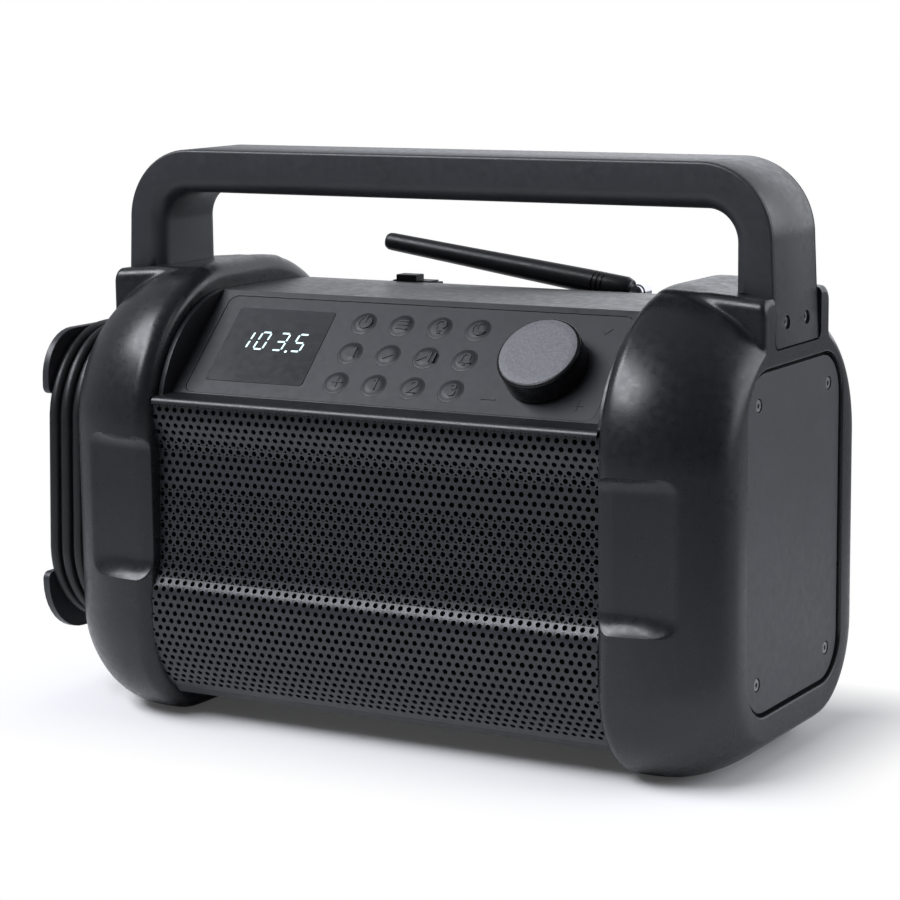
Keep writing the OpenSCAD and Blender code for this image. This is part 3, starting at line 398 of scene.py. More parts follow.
def bumper_stations():
    """Sections from the inner edge to the end face: x, half depth, outward direction in plan."""
    cy = HALF_DEPTH - PLAN_R
    dx = END_X - PLAN_FILLET - MID_X
    dy = math.sqrt((PLAN_R - PLAN_FILLET) ** 2 - dx * dx)
    turn = math.degrees(math.atan2(dy, dx))
    out = []
    for a in np.concatenate([np.linspace(-86, -62, 6), np.linspace(-58, -3, 22)]):
        s, c = math.sin(math.radians(a)), math.cos(math.radians(a))
        out.append((MID_X + ROLL_R * s, HALF_DEPTH - ROLL_R * (1 - c), (s, c)))
    for a in np.concatenate([[90], np.linspace(88, turn, 24)]):
        s, c = math.sin(math.radians(a)), math.cos(math.radians(a))
        out.append((MID_X + PLAN_R * c, cy + PLAN_R * s, (c, s)))
    for a in np.linspace(turn, 0, 15)[1:]:
        s, c = math.sin(math.radians(a)), math.cos(math.radians(a))
        out.append((END_X - PLAN_FILLET + PLAN_FILLET * c, cy + dy + PLAN_FILLET * s, (c, s)))
    return out, cy + dy


def rounded_box(dy, dz, r):
    """Distance outside a rounded corner, from the offsets to the corner circle's centre."""
    outside = np.hypot(np.maximum(dy, 0), np.maximum(dz, 0))
    return outside + np.minimum(np.maximum(dy, dz), 0) - r


def section_distance(y, z, x, half, end_y):
    """Distance of points of one section from the skin: the rounded outline joined to the boss."""
    rolled = HALF_DEPTH - half if x < MID_X else 0.0
    w = 0.0 if x < MID_X else (HALF_DEPTH - half) / (HALF_DEPTH - end_y)
    z1 = BUMPER_TOP - rolled - drop(x, MID_X, END_X, BUMPER_TOP - END_TOP)
    z0 = rolled + drop(x, FOOT_X, END_X, END_BOTTOM)
    rt = TOP_CORNER[0] * (1 - w) + TOP_CORNER[1] * w - rolled
    rb = BOTTOM_CORNER[0] * (1 - w) + BOTTOM_CORNER[1] * w - rolled
    y = np.abs(y)
    top = rounded_box(y - (half - rt), z - (z1 - rt), rt)
    bottom = rounded_box(y - (half - rb), (z0 + rb) - z, rb)
    outline = np.where(z > WAIST_Z, top, bottom)
    fall = BOSS_FALL * min(1.0, max(0.0, (x - BOSS_FALL_X) / (END_X - BOSS_FALL_X)))
    edge = max(0.0, x - (END_X - BOSS_EDGE))
    inset = rolled + BOSS_EDGE - math.sqrt(BOSS_EDGE**2 - edge**2)
    boss = rounded_box(y - (BOSS_HALF - inset - BOSS_R), z - (BOSS_TOP - fall - inset - BOSS_R), BOSS_R)
    boss = np.where(z > BOSS_FROM_Z, boss, FAR)
    gap = np.maximum(BOSS_BLEND - np.abs(outline - boss), 0) / BOSS_BLEND
    return np.minimum(outline, boss) - gap * gap * BOSS_BLEND / 4


def reach(inside, start, far):
    """How far along each ray a test stays true, by halving the interval."""
    low, high = np.zeros(start), np.full(start, far)
    for _ in range(40):
        mid = (low + high) / 2
        kept = inside(mid)
        low, high = np.where(kept, mid, low), np.where(kept, high, mid)
    return low


def cast(origin_z, direction, x, half, end_y):
    """Where rays from (0, origin_z) leave the section."""

    def inside(t):
        return section_distance(direction[:, 0] * t, origin_z + direction[:, 1] * t, x, half, end_y) < 0

    low = reach(inside, len(origin_z), 160.0)
    return np.column_stack([direction[:, 0] * low, origin_z + direction[:, 1] * low])


def pocket_rows():
    near_low = [70, 71.5, 72.5, 73.0, 73.2, 73.5, 74, 74.6, 75.4, 76.4, 77.6, 79, 80.6, 82, 83.2]
    middle = list(np.linspace(86, 134, 13))
    near_high = [136.7, 138, 139.2, 140.3, 141.3, 142.2, 143, 143.5, 143.9, 144.1, 144.3, 144.9, 146, 148]
    return [60, 63, 66.5] + near_low + middle + near_high + [151, 154.5, 158, 161.5, 165]


POCKET_ROWS = np.array(pocket_rows())


def half_ring(x, half, end_y):
    """One side of a section, from its lowest point to its highest."""
    edge = cast(np.array([ROW_LOW, ROW_HIGH]), np.array([[1.0, 0.0], [1.0, 0.0]]), x, half, end_y)
    low_angle = math.atan2(ROW_LOW - RAY_Z, edge[0][0])
    high_angle = math.atan2(ROW_HIGH - RAY_Z, edge[1][0])
    below = np.linspace(-math.pi / 2, low_angle, 30)[:-1]
    side = math.radians(50)
    above = np.concatenate(
        [
            np.linspace(high_angle, side, 12)[1:],
            np.radians(np.linspace(50, 64, 9))[1:],
            np.radians(np.linspace(64, 77, 40))[1:],
            np.radians(np.linspace(77, 90, 8))[1:],
        ]
    )
    angles = np.concatenate([below, above])
    rays = np.column_stack([np.cos(angles), np.sin(angles)])
    fan = cast(np.full(len(angles), RAY_Z), rays, x, half, end_y)
    rows = cast(POCKET_ROWS, np.tile([1.0, 0.0], (len(POCKET_ROWS), 1)), x, half, end_y)
    return np.vstack([fan[: len(below)], rows, fan[len(below) :]])


def cove(t):
    return 1 - (1 - t) ** COVE_POWER


def pocket_shift(x, half, z):
    """How far the skin is pressed in at the finger pocket, along its outward direction in plan."""
    if z <= POCKET_Z0 or z >= POCKET_Z1:
        return 0.0
    floor_y = HALF_DEPTH - POCKET_DEPTH - max(0.0, x - MID_X) * math.tan(math.radians(POCKET_TILT))
    if x < MID_X:
        floor_y -= POCKET_ROLL_R - math.sqrt(POCKET_ROLL_R**2 - (MID_X - x) ** 2)
    depth = HALF_DEPTH - floor_y if x < MID_X else max(0.0, half - floor_y)
    end_x = MID_X + POCKET_LENGTH
    rim = min(z - POCKET_Z0, POCKET_Z1 - z)
    if rim < POCKET_R:
        end_x -= POCKET_R - math.sqrt(POCKET_R**2 - (POCKET_R - rim) ** 2)
    if x >= end_x:
        return 0.0
    low = min(1.0, (z - POCKET_Z0) / (POCKET_FLOOR_Z0 - POCKET_Z0))
    high = min(1.0, (POCKET_Z1 - z) / (POCKET_Z1 - POCKET_FLOOR_Z1))
    side = min(1.0, (end_x - x) / POCKET_SIDE)
    depth *= cove(low) * cove(high) * cove(side)
    return max(0.0, depth - (HALF_DEPTH - half)) if x < MID_X else depth


def recess_ring(directions, grow):
    """Points of the end recess's outline on rays from its middle."""
    zc = (PLATE_Z0 + PLATE_Z1) / 2
    r = PLATE_R + PLATE_GAP + grow
    hy = PLATE_HALF + PLATE_GAP + grow - r
    hz = (PLATE_Z1 - PLATE_Z0) / 2 + PLATE_GAP + grow - r

    def inside(t):
        p = directions * t[:, None]
        return rounded_box(np.abs(p[:, 0]) - hy, np.abs(p[:, 1]) - hz, r) < 0

    low = reach(inside, len(directions), 120.0)
    return directions * low[:, None] + np.array([0, zc])


def bumper_mesh(side):
    stations, end_y = bumper_stations()
    points = []
    for x, half, (nx, ny) in stations:
        ring = half_ring(x, half, end_y)
        back_side = [(x, y, z) for y, z in ring]
        front = []
        for y, z in ring[::-1][1:-1]:
            d = pocket_shift(x, half, z)
            front.append((x - nx * d, -(y - ny * d), z) if x >= MID_X else (x, -(y - d), z))
        points.append(back_side + front)
    count = len(points[0])
    outer = np.array([(y, z) for _, y, z in points[-1]])
    zc = (PLATE_Z0 + PLATE_Z1) / 2
    rays = outer - np.array([0, zc])
    rays /= np.linalg.norm(rays, axis=1)[:, None]
    inner = recess_ring(rays, 1.0)
    step = outer + (inner - outer) * 0.12
    points.append([(END_X, y, z) for y, z in step])
    for grow, depth in RECESS_EDGE:
        x = END_X - depth
        points.append([(x, y, z) for y, z in recess_ring(rays, grow)])
    first = np.array([(y, z) for _, y, z in points[0]])
    wall = first + (np.array([0, RAY_Z]) - first) * 0.02
    points.insert(0, [(points[0][0][0], y, z) for y, z in wall])
    rows = len(points)
    flat = [p for ring in points for p in ring]
    flat.append((flat[0][0], 0, RAY_Z))
    flat.append((RECESS_X, 0, zc))
    faces = rings_to_faces(rows, count)
    faces += [(len(flat) - 2, (j + 1) % count, j) for j in range(count)]
    last = (rows - 1) * count
    faces += [(len(flat) - 1, last + j, last + (j + 1) % count) for j in range(count)]
    return [(p[0] * side, p[1], p[2]) for p in flat], faces


def slot_cutter(side):
    """The notch that takes a leg of the handle, with rounded lower corners."""
    r, half, z = SLOT_R, SLOT_HALF, SLOT_Z
    above = [(half, CUTTER_TOP), (-half, CUTTER_TOP)]
    outline = arc(half - r, z + r, r, -90, 0, 6) + above + arc(-half + r, z + r, r, 180, 270, 6)
    n = len(outline)
    points = [(side * x, y, zz) for x in (SLOT_X, END_X + 3) for y, zz in outline]
    faces = [tuple(range(n))[::-1], tuple(range(n, 2 * n))]
    faces += [(i, (i + 1) % n, n + (i + 1) % n, n + i) for i in range(n)]
    return points, faces


def cut(obj, cutter):
    """Takes the cutter's volume out of a piece and keeps the result as its mesh."""
    modifier = obj.modifiers.new("cut", "BOOLEAN")
    modifier.operation = "DIFFERENCE"
    modifier.solver = "EXACT"
    modifier.object = cutter
    graph = bpy.context.evaluated_depsgraph_get()
    mesh = bpy.data.meshes.new_from_object(obj.evaluated_get(graph))
    obj.modifiers.clear()
    obj.data = mesh
    bpy.data.objects.remove(cutter)


def make_bumper(name, side):
    points, faces = bumper_mesh(side)
    obj = mesh_piece(name, points, faces, M["bumper_rubber"], sharp=60)
    fix_normals(obj)
    cutter_points, cutter_faces = slot_cutter(side)
    cutter = mesh_piece(name + "_slot", cutter_points, cutter_faces, M["bumper_rubber"], body=None)
    fix_normals(cutter)
    cut(obj, cutter)
    obj.data.polygons.foreach_set("use_smooth", [True] * len(obj.data.polygons))
    obj.data.set_sharp_from_angle(angle=math.radians(35))
    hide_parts(name)


make_bumper("left_bumper", -1)
make_bumper("right_bumper", 1)


# ---------------------------------------------------------------- perforated grille

HOLE_PITCH = 4.5
ROW_PITCH = HOLE_PITCH * math.sqrt(3) / 2
HOLE_R = 1.33
HOLE_SIDES = 12
GRILLE_T = 1.0
GRILLE_HALF = 121.2
HOLES_HALF = 119.3
# Half width of the near-black sheet of painted shade behind the holes, and its gap behind the sheet.
SHADE_SHEET_HALF, SHADE_SHEET_BEHIND = 119.5, 0.7
GRILLE_TOP_ROW, GRILLE_LAST_ROW = -31, 6
# The sheet's profile, front to back and height, from the nose of the panel to the floor.
GRILLE_PROFILE = (
    [(-85.8, 163.0), (-85.8, 159.9), (-86.0, 152.0), (-85.0, 148.0), (-82.6, 142.5), (-81.6, 137.0)]
    + [(-82.0, 118.0), (-83.2, 90.0), (-84.2, 80.0), (-86.4, 74.5)]
    + [(-89.4, 70.0), (-90.2, 67.0), (-90.2, 53.0)]
    + arc(-41.2, 53.0, 49.0, 180, 227, 24)[1:]
)
# Height of the row of holes that the rows are counted from, near the lower bend.
ROW_ZERO_Z = 42.4


def soft_profile(profile, step=0.5, passes=10):
    """The profile resampled evenly, with its bends rounded by averaging."""
    p = np.array(profile)
    s = np.concatenate([[0], np.cumsum(np.hypot(*np.diff(p, axis=0).T))])
    even = np.linspace(0, s[-1], int(s[-1] / step) + 1)
    q = np.column_stack([np.interp(even, s, p[:, 0]), np.interp(even, s, p[:, 1])])
    for _ in range(passes):
        q[1:-1] = (q[:-2] + 2 * q[1:-1] + q[2:]) / 4
    s = np.concatenate([[0], np.cumsum(np.hypot(*np.diff(q, axis=0).T))])
    return q, s


SHEET, SHEET_S = soft_profile(GRILLE_PROFILE)


def on_sheet(s, depth):
    """Front-to-back and height of a point on the sheet, a distance behind its face."""
    s = np.asarray(s, float)
    y, z = np.interp(s, SHEET_S, SHEET[:, 0]), np.interp(s, SHEET_S, SHEET[:, 1])
    ty = np.interp(s + 0.4, SHEET_S, SHEET[:, 0]) - np.interp(s - 0.4, SHEET_S, SHEET[:, 0])
    tz = np.interp(s + 0.4, SHEET_S, SHEET[:, 1]) - np.interp(s - 0.4, SHEET_S, SHEET[:, 1])
    length = np.hypot(ty, tz)
    return y - tz / length * depth, z + ty / length * depth


def row_position(j):
    zero = np.interp(-ROW_ZERO_Z, -SHEET[:, 1], SHEET_S)
    return zero + j * ROW_PITCH


def sheet_strip(name, positions, depth, half, material):
    """A plain band that follows the sheet's profile, a distance behind its face."""
    line = [on_sheet(s, depth) for s in positions]
    points = [(x, float(y), float(z)) for y, z in line for x in (-half, half)]
    return mesh_piece(name, points, rings_to_faces(len(line), 2, closed=False), material)


def make_grille():
    h, w = ROW_PITCH / 2, HOLE_PITCH / 2
    turns = [2 * math.pi * k / HOLE_SIDES for k in range(HOLE_SIDES)]
    hole = [(HOLE_R * math.sin(a), HOLE_R * math.cos(a)) for a in turns]
    frame_points = [(0, h), (w / 3, h), (w, h), (w, 0), (w, -h), (w / 3, -h)]
    frame_points += [(0, -h), (-w / 3, -h), (-w, -h), (-w, 0), (-w, h), (-w / 3, h)]
    points, faces = [], []
    for j in range(GRILLE_TOP_ROW, GRILLE_LAST_ROW + 1):
        s = row_position(j)
        offset = 0 if j % 2 == 0 else w
        n = int((HOLES_HALF - offset) / HOLE_PITCH)
        xs = [offset + HOLE_PITCH * k for k in range(-n - (1 if offset else 0), n + 1)]
        for x in xs:
            base = len(points)
            ring = []
            for u, v in frame_points:
                ring.append((x + u, s + v, 0))
            ring += [(x + u, s + v, 0) for u, v in hole]
            ring += [(x + u, s + v, GRILLE_T) for u, v in hole]
            points += ring
            m = HOLE_SIDES
            for k in range(m):
                e = (k + 1) % m
                faces.append((base + k, base + e, base + m + e, base + m + k))
                faces.append((base + m + k, base + m + e, base + 2 * m + e, base + 2 * m + k))
        reach = xs[-1] + w
        for sign in (1, -1):
            base = len(points)
            for u in (reach, GRILLE_HALF):
                for v in (-h, 0, h):
                    points.append((sign * u, s + v, 0))
            faces += [(base, base + 1, base + 4, base + 3), (base + 1, base + 2, base + 5, base + 4)]
    p = np.array(points)
    y, z = on_sheet(p[:, 1], p[:, 2])
    obj = mesh_piece("speaker_grille_sheet", list(zip(p[:, 0], y, z)), faces, M["grille_metal"], sharp=40)
    bm = bmesh.new()
    bm.from_mesh(obj.data)
    bmesh.ops.remove_doubles(bm, verts=bm.verts, dist=0.02 * MM)
    bmesh.ops.recalc_face_normals(bm, faces=bm.faces)
    bm.to_mesh(obj.data)
    bm.free()
    obj.data.set_sharp_from_angle(angle=math.radians(40))
    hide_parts("speaker_grille")
    top, foot, end = row_position(GRILLE_TOP_ROW) - h, row_position(GRILLE_LAST_ROW) + h, SHEET_S[-1]
    edge = sheet_strip("grille_lower_edge", np.linspace(foot, end, 8), 0, GRILLE_HALF, M["grille_metal"])
    # Painted shade: a near-black sheet behind the holes darkens them.
    behind = GRILLE_T + SHADE_SHEET_BEHIND
    hole_shade = sheet_strip("painted_shade_sheet", np.linspace(top, end, 90), behind, SHADE_SHEET_HALF, M["hole_shade"])


make_grille()


# ---------------------------------------------------------------- carrying handle

HANDLE_HALF = 25.5
HANDLE_TOP, GRIP_Z = 277.8, 256.3
LEG_X, LEG_IN, LEG_Z, LEG_SLOPE = 177.8, 156.2, 194.3, 0.0454
# Inside the bumper's notch a leg is thinner.
LEG_IN_NOTCH, NOTCH_END = 161.0, 218.0
HANDLE_R, HANDLE_INNER_R = 35.5, 15.0
STRAP_HALF, STRAP_T = 23.9, 2.2
EDGE_OUT, EDGE_IN = 1.5, 8.5
HANDLE_SCREW_Y, HANDLE_SCREW_Z, HANDLE_BORE_R = 11.4, 205.8, 3.25
BORE_DEPTH, BORE_BEYOND, BORE_SIDES = 3.5, 2, 40
FOOT_R = 4.0


def handle_pairs():
    """Outer and inner points of the handle's right half, from the foot to the middle of the grip."""
    ox = LEG_X - LEG_SLOPE * (HANDLE_TOP - HANDLE_R - LEG_Z) - HANDLE_R
    oz = HANDLE_TOP - HANDLE_R
    ix, iz = LEG_IN - HANDLE_INNER_R, GRIP_Z - HANDLE_INNER_R
    pairs = []
    for z in [194.3, 194.5, 194.9, 195.5, 196.3, 197.3, 198.4, 206, 214, 217.6, 219.4, 226, 233, 240]:
        inner_x = LEG_IN_NOTCH if z < NOTCH_END else LEG_IN
        pairs.append(((LEG_X - LEG_SLOPE * (z - LEG_Z), z), (inner_x, z)))
    for a in np.linspace(0, 90, 25):
        outer = arc(ox, oz, HANDLE_R, a, a, 1)[0]
        inner = arc(ix, iz, HANDLE_INNER_R, a, a, 1)[0]
        pairs.append((outer, inner))
    for t in np.linspace(0, 1, 10)[1:]:
        pairs.append(((ox * (1 - t), HANDLE_TOP), (ix * (1 - t), GRIP_Z)))
    return pairs


def core_section():
    """(depth side, y, distance, from outer face?) round the handle's body, with the strap's bed."""
    out = []
    for a in np.linspace(0, 90, 6):
        c, s = math.cos(math.radians(a)), math.sin(math.radians(a))
        out.append((HANDLE_HALF - EDGE_OUT + EDGE_OUT * s, EDGE_OUT - EDGE_OUT * c, True))
    for a in np.linspace(90, 0, 14):
        c, s = math.cos(math.radians(a)), math.sin(math.radians(a))
        out.append((HANDLE_HALF - EDGE_IN * (1 - s), EDGE_IN - EDGE_IN * c, False))
    bed = [(0.0, STRAP_T, True), (STRAP_HALF + 0.25, STRAP_T, True), (STRAP_HALF + 0.25, 0.15, True)]
    half = bed + out
    return half + [(-y, d, o) for y, d, o in half[:0:-1]]


def strap_section():
    e = 0.35
    half = [(0.0, 0.0, True), (STRAP_HALF - e - 0.1, 0.0, True)]
    half += [(STRAP_HALF - e * 0.4 - 0.1, e * 0.25, True), (STRAP_HALF - 0.1, e, True)]
    half += [(STRAP_HALF - 0.1, STRAP_T - 0.1, True)]
    return half + [(-y, d, o) for y, d, o in half[:0:-1]]


def sweep_handle(name, section, pairs, material):
    full = pairs + [((-o[0], o[1]), (-i[0], i[1])) for o, i in pairs[-2::-1]]
    points = []
    for outer, inner in full:
        o, i = np.array(outer), np.array(inner)
        w = (o - i) / np.linalg.norm(o - i)
        above = outer[1] - LEG_Z
        tuck = FOOT_R - math.sqrt(max(0.0, FOOT_R**2 - max(0.0, FOOT_R - above) ** 2))
        for y, d, from_outer in section:
            base = o - w * d if from_outer else i + w * d
            limit = HANDLE_HALF - tuck
            points.append((base[0], max(-limit, min(limit, y)), base[1]))
    n = len(section)
    faces = rings_to_faces(len(full), n)
    faces.append(tuple(range(n))[::-1])
    faces.append(tuple((len(full) - 1) * n + k for k in range(n)))
    obj = mesh_piece(name, points, faces, material, sharp=40)
    fix_normals(obj)
    return obj


def bore_cutter(name):
    """Four short cylinders that open the screw seats in the legs."""
    points, faces, n = [], [], BORE_SIDES
    for side in (-1, 1):
        for y in (-HANDLE_SCREW_Y, HANDLE_SCREW_Y):
            base = len(points)
            for x in (LEG_X - BORE_DEPTH, LEG_X + BORE_BEYOND):
                ring = arc(y, HANDLE_SCREW_Z, HANDLE_BORE_R, 0, 360, n)[:-1]
                points += [(side * x, yy, zz) for yy, zz in ring]
            faces += [(base + i, base + (i + 1) % n, base + n + (i + 1) % n, base + n + i) for i in range(n)]
            faces += [tuple(base + i for i in range(n))[::-1], tuple(base + n + i for i in range(n))]
    cutter = mesh_piece(name, points, faces, M["handle_plastic"], body=None)
    fix_normals(cutter)
    return cutter


def bored_handle(name, section, pairs, material):
    obj = sweep_handle(name, section, pairs, material)
    cut(obj, bore_cutter(name + "_bores"))
    obj.data.set_sharp_from_angle(angle=math.radians(40))
    return obj


def make_handle():
    pairs = handle_pairs()
    core = bored_handle("handle_body", core_section(), pairs, M["handle_plastic"])
    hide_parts("handle_core")
    strap = bored_handle("handle_strap", strap_section(), pairs[2:], M["handle_strap"])
    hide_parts("handle_cover")


make_handle()


# ---------------------------------------------------------------- control panel details

PANEL_SLOPE = math.radians(43.8)
PANEL_REAR_Y, DECK_Z, PANEL_ZERO = -27.7, 209.3, 29.8
MEMBRANE_N = -0.2
BUTTON_X, BUTTON_S = -28.8, -13.3
BUTTON_PITCH_X, BUTTON_PITCH_S = 20.8, 18.2
BUTTON_R, BUTTON_DOME = 6.5, 1.05
KNOB_X, KNOB_S, KNOB_R = 78.0, 7.3, 20.2
KNOB_N0, KNOB_N1 = 0.4, 13.2
CAP_R = 18.9

DOWN = Vector((0, -math.cos(PANEL_SLOPE), -math.sin(PANEL_SLOPE)))
OUT = Vector((0, -math.sin(PANEL_SLOPE), math.cos(PANEL_SLOPE)))


def on_panel(x, s, n=0.0):
    """A point of the sloping panel: across, down the slope, outward."""
    return Vector((x, PANEL_REAR_Y, DECK_Z)) + DOWN * (s + PANEL_ZERO) + OUT * n


def polyline_prism(line, width, centre, n0, n1):
    """A raised stroke of even width along a line of (right, up) points on the panel."""
    p = np.array(line, float)
    count = len(p)
    left, right = [], []
    for i in range(count):
        before = p[i - 1] if i > 0 else p[i] - (p[i + 1] - p[i])
        after = p[i + 1] if i < count - 1 else p[i] + (p[i] - p[i - 1])
        d0 = (p[i] - before) / np.linalg.norm(p[i] - before)
        d1 = (after - p[i]) / np.linalg.norm(after - p[i])
        m = d0 + d1
        m /= np.linalg.norm(m)
        normal = np.array([-m[1], m[0]])
        reach = min(2.0, 1 / max(0.3, float(normal @ np.array([-d0[1], d0[0]]))))
        left.append(p[i] + normal * width / 2 * reach)
        right.append(p[i] - normal * width / 2 * reach)
    points, faces = [], []
    top_width = 0.75
    for a, b in zip(left, right):
        mid = (a + b) / 2
        for q, n in ((a, n0), (mid + (a - mid) * top_width, n1), (mid + (b - mid) * top_width, n1), (b, n0)):
            points.append(on_panel(centre[0] + q[0], centre[1] - q[1], n))
    for i in range(count - 1):
        a, b = 4 * i, 4 * (i + 1)
        faces += [(a, b, b + 1, a + 1), (a + 1, b + 1, b + 2, a + 2), (a + 2, b + 2, b + 3, a + 3)]
    e = 4 * (count - 1)
    faces += [(0, 1, 2, 3), (e + 3, e + 2, e + 1, e)]
    return points, faces


def polygon_prism(line, centre, n0, n1):
    points = [on_panel(centre[0] + x, centre[1] - y, n) for n in (n0, n1) for x, y in line]
    m = len(line)
    faces = [tuple(range(m, 2 * m))] + [(i, (i + 1) % m, m + (i + 1) % m, m + i) for i in range(m)]
    return points, faces


def join_shapes(shapes):
    points, faces = [], []
    for pts, fcs in shapes:
        base = len(points)
        points += pts
        faces += [tuple(base + i for i in f) for f in fcs]
    return points, faces


def strokes(lines):
    return [("line", line) for line in lines]


def digit(which):
    if which == 1:
        return strokes([[(-1.5, 2.0), (0.5, 3.2), (0.5, -3.2)]])
    if which == 2:
        return strokes([arc(0.0, 1.5, 1.8, 170, -30, 9) + [(-2.0, -3.1), (2.1, -3.1)]])
    return strokes([arc(0.0, 1.6, 1.6, 160, -80, 9) + [(0.1, 0.05)] + arc(0.0, -1.5, 1.8, 80, -165, 10)])


def key_icon(name):
    """The strokes and filled shapes of a key's generic symbol, in millimetres from its middle."""
    if name == "power":
        return strokes([arc(0, 0, 3.3, 122, 418, 24), [(0, 0.2), (0, 4.3)]])
    if name == "mode":
        return strokes([[(-3.0, y), (3.0, y)] for y in (-2.3, 0.0, 2.3)])
    if name == "light":
        base = [[(-1.2, -2.3), (1.2, -2.3)], [(-0.9, -3.6), (0.9, -3.6)]]
        return strokes([arc(0, 1.2, 2.5, -55, 235, 18)] + base)
    if name == "snooze":
        outer, inner = arc(0, 0, 3.4, 70, 340, 20), arc(1.5, 1.1, 2.75, 306, 104, 14)
        return strokes([outer + inner])
    if name == "previous":
        return [("shape", [(2.4, 3.0), (-2.6, 0.0), (2.4, -3.0)])]
    if name == "tune":
        return [("shape", [(-2.4, 3.0), (-2.4, -3.0), (2.6, 0.0)])]
    if name == "play_pause":
        bars = strokes([[(1.7, 2.7), (1.7, -2.7)], [(4.0, 2.7), (4.0, -2.7)]])
        return [("shape", [(-4.4, 2.7), (-4.4, -2.7), (0.2, 0.0)])] + bars
    if name == "alarm":
        bell = [(-3.1, -2.0), (-2.0, -0.8)] + arc(0, 1.1, 2.0, 180, 0, 12) + [(2.0, -0.8), (3.1, -2.0)]
        return strokes([bell, [(-3.1, -2.0), (3.1, -2.0)], [(-0.7, -3.3), (0.7, -3.3)]])
    if name == "preset_plus":
        return strokes([[(-3.0, 0), (3.0, 0)], [(0, 3.0), (0, 0.6)], [(0, -0.6), (0, -3.0)]])
    return digit(int(name[-1]))


def build_icon(shapes, centre, n0, n1, width=0.85):
    built = []
    for kind, line in shapes:
        if kind == "shape":
            built.append(polygon_prism(line, centre, n0, n1))
        else:
            built.append(polyline_prism(line, width, centre, n0, n1))
    return join_shapes(built)


KEYS = [
    ["power", "mode", "light", "snooze"],
    ["previous", "tune", "play_pause", "alarm"],
    ["preset_plus", "preset_1", "preset_2", "preset_3"],
]


ICON_SHIFT = 1.0


def dome_height(r):
    """Height of a key's dome at a radius: it swells softly out of the membrane."""
    t = min(1.0, r / BUTTON_R)
    return BUTTON_DOME * (0.5 + 0.5 * math.cos(math.pi * t**2.6))


def make_keys():
    for j, row in enumerate(KEYS):
        for i, name in enumerate(row):
            centre = (BUTTON_X + BUTTON_PITCH_X * i, BUTTON_S + BUTTON_PITCH_S * j)
            body = "button_" + name
            radii = np.linspace(BUTTON_R - 0.02, 0.02, 18)
            profile = [(BUTTON_R - 0.02, -2.0)] + [(r, MEMBRANE_N + dome_height(r)) for r in radii]
            dome = revolve("key_" + name, profile, on_panel(*centre), OUT, M["keypad_rubber"], body, 48)
            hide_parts(body)
            top = MEMBRANE_N + BUTTON_DOME
            at = (centre[0] + ICON_SHIFT, centre[1])
            points, faces = build_icon(key_icon(name), at, MEMBRANE_N + 0.2, top + 0.3)
            icon = mesh_piece("icon_" + name, points, faces, M["keypad_rubber"], body, sharp=30)
            fix_normals(icon)


# Minus, plus and tick beside the knob: strokes and their place on the panel.
MARKS = [
    ([[(-3.8, 0), (3.8, 0)]], (54.5, 26.2)),
    ([[(-2.9, 0), (2.9, 0)], [(0, 2.9), (0, 0.4)], [(0, -0.4), (0, -2.9)]], (100.2, 26.2)),
    ([[(-2.2, 0.2), (-0.6, -1.4), (2.4, 1.6)]], (99.6, -17)),
]
MARK_WIDTH, MARK_SUNK, MARK_RAISED = 0.8, 0.05, 0.28


def make_marks():
    n0, n1 = MEMBRANE_N - MARK_SUNK, MEMBRANE_N + MARK_RAISED
    shapes = [build_icon(strokes(lines), at, n0, n1, MARK_WIDTH) for lines, at in MARKS]
    points, faces = join_shapes(shapes)
    marks = mesh_piece("membrane_marks", points, faces, M["keypad_rubber"], sharp=30)
    fix_normals(marks)


def glow_material():
    material = bpy.data.materials.new("display_digits")
    material.use_nodes = True
    tree = material.node_tree
    shader = tree.nodes["Principled BSDF"]
    coords = tree.nodes.new("ShaderNodeTexCoord").outputs["Object"]
    low, high = linear("a9d3d8"), linear("eafcff")
    colour = ramp(tree, noise(tree, coords, 900, 2), [(0.3, low), (0.7, high)])
    link(tree, colour, shader.inputs["Base Color"])
    link(tree, colour, shader.inputs["Emission Color"])
    shader.inputs["Emission Strength"].default_value = 0.85
    shader.inputs["Roughness"].default_value = 0.4
    return material


# Left edges of the digits, the line they stand on and their heights above the panel.
DIGITS = (("1", -93.3), ("0", -83.7), ("3", -72.9), ("5", -62.3))
DIGIT_LINE, DIGIT_LOW, DIGIT_HIGH = 6.1, 0.02, 0.07
DOT_X, DOT_Y, DOT_R = -64.6, -0.5, 0.75
SEGMENTS = {"1": "bc", "0": "abcdef", "3": "abcdg", "5": "acdfg"}


def make_digits():
    """The reading 103.5 in slanted seven-segment digits, lit behind the window."""
    w, h, slant, thick, gap = 5.2, 10.4, 0.13, 1.0, 0.45
    ends = {
        "a": ((0, h), (w, h)),
        "b": ((w, h), (w, h / 2)),
        "c": ((w, h / 2), (w, 0)),
        "d": ((0, 0), (w, 0)),
        "e": ((0, h / 2), (0, 0)),
        "f": ((0, h), (0, h / 2)),
        "g": ((0, h / 2), (w, h / 2)),
    }
    shapes = []
    for char, x0 in DIGITS:
        for name in SEGMENTS[char]:
            a, b = np.array(ends[name][0]), np.array(ends[name][1])
            d = (b - a) / np.linalg.norm(b - a)
            a, b = a + d * gap, b - d * gap
            side = np.array([-d[1], d[0]]) * thick / 2
            tip = d * thick * 0.35
            outline = [a, a + tip + side, b - tip + side, b, b - tip - side, a + tip - side]
            line = [(x0 + p[0] + slant * p[1], p[1]) for p in outline]
            shapes.append(polygon_prism(line, (0, DIGIT_LINE), DIGIT_LOW, DIGIT_HIGH))
    turns = np.linspace(0, 2 * math.pi, 13)[:-1]
    dot = [(DOT_X + DOT_R * math.cos(a), DOT_Y + DOT_R * math.sin(a)) for a in turns]
    shapes.append(polygon_prism(dot, (0, DIGIT_LINE), DIGIT_LOW, DIGIT_HIGH))
    points, faces = join_shapes(shapes)
    digits = mesh_piece("display_digits", points, faces, glow_material(), sharp=30)
    fix_normals(digits)


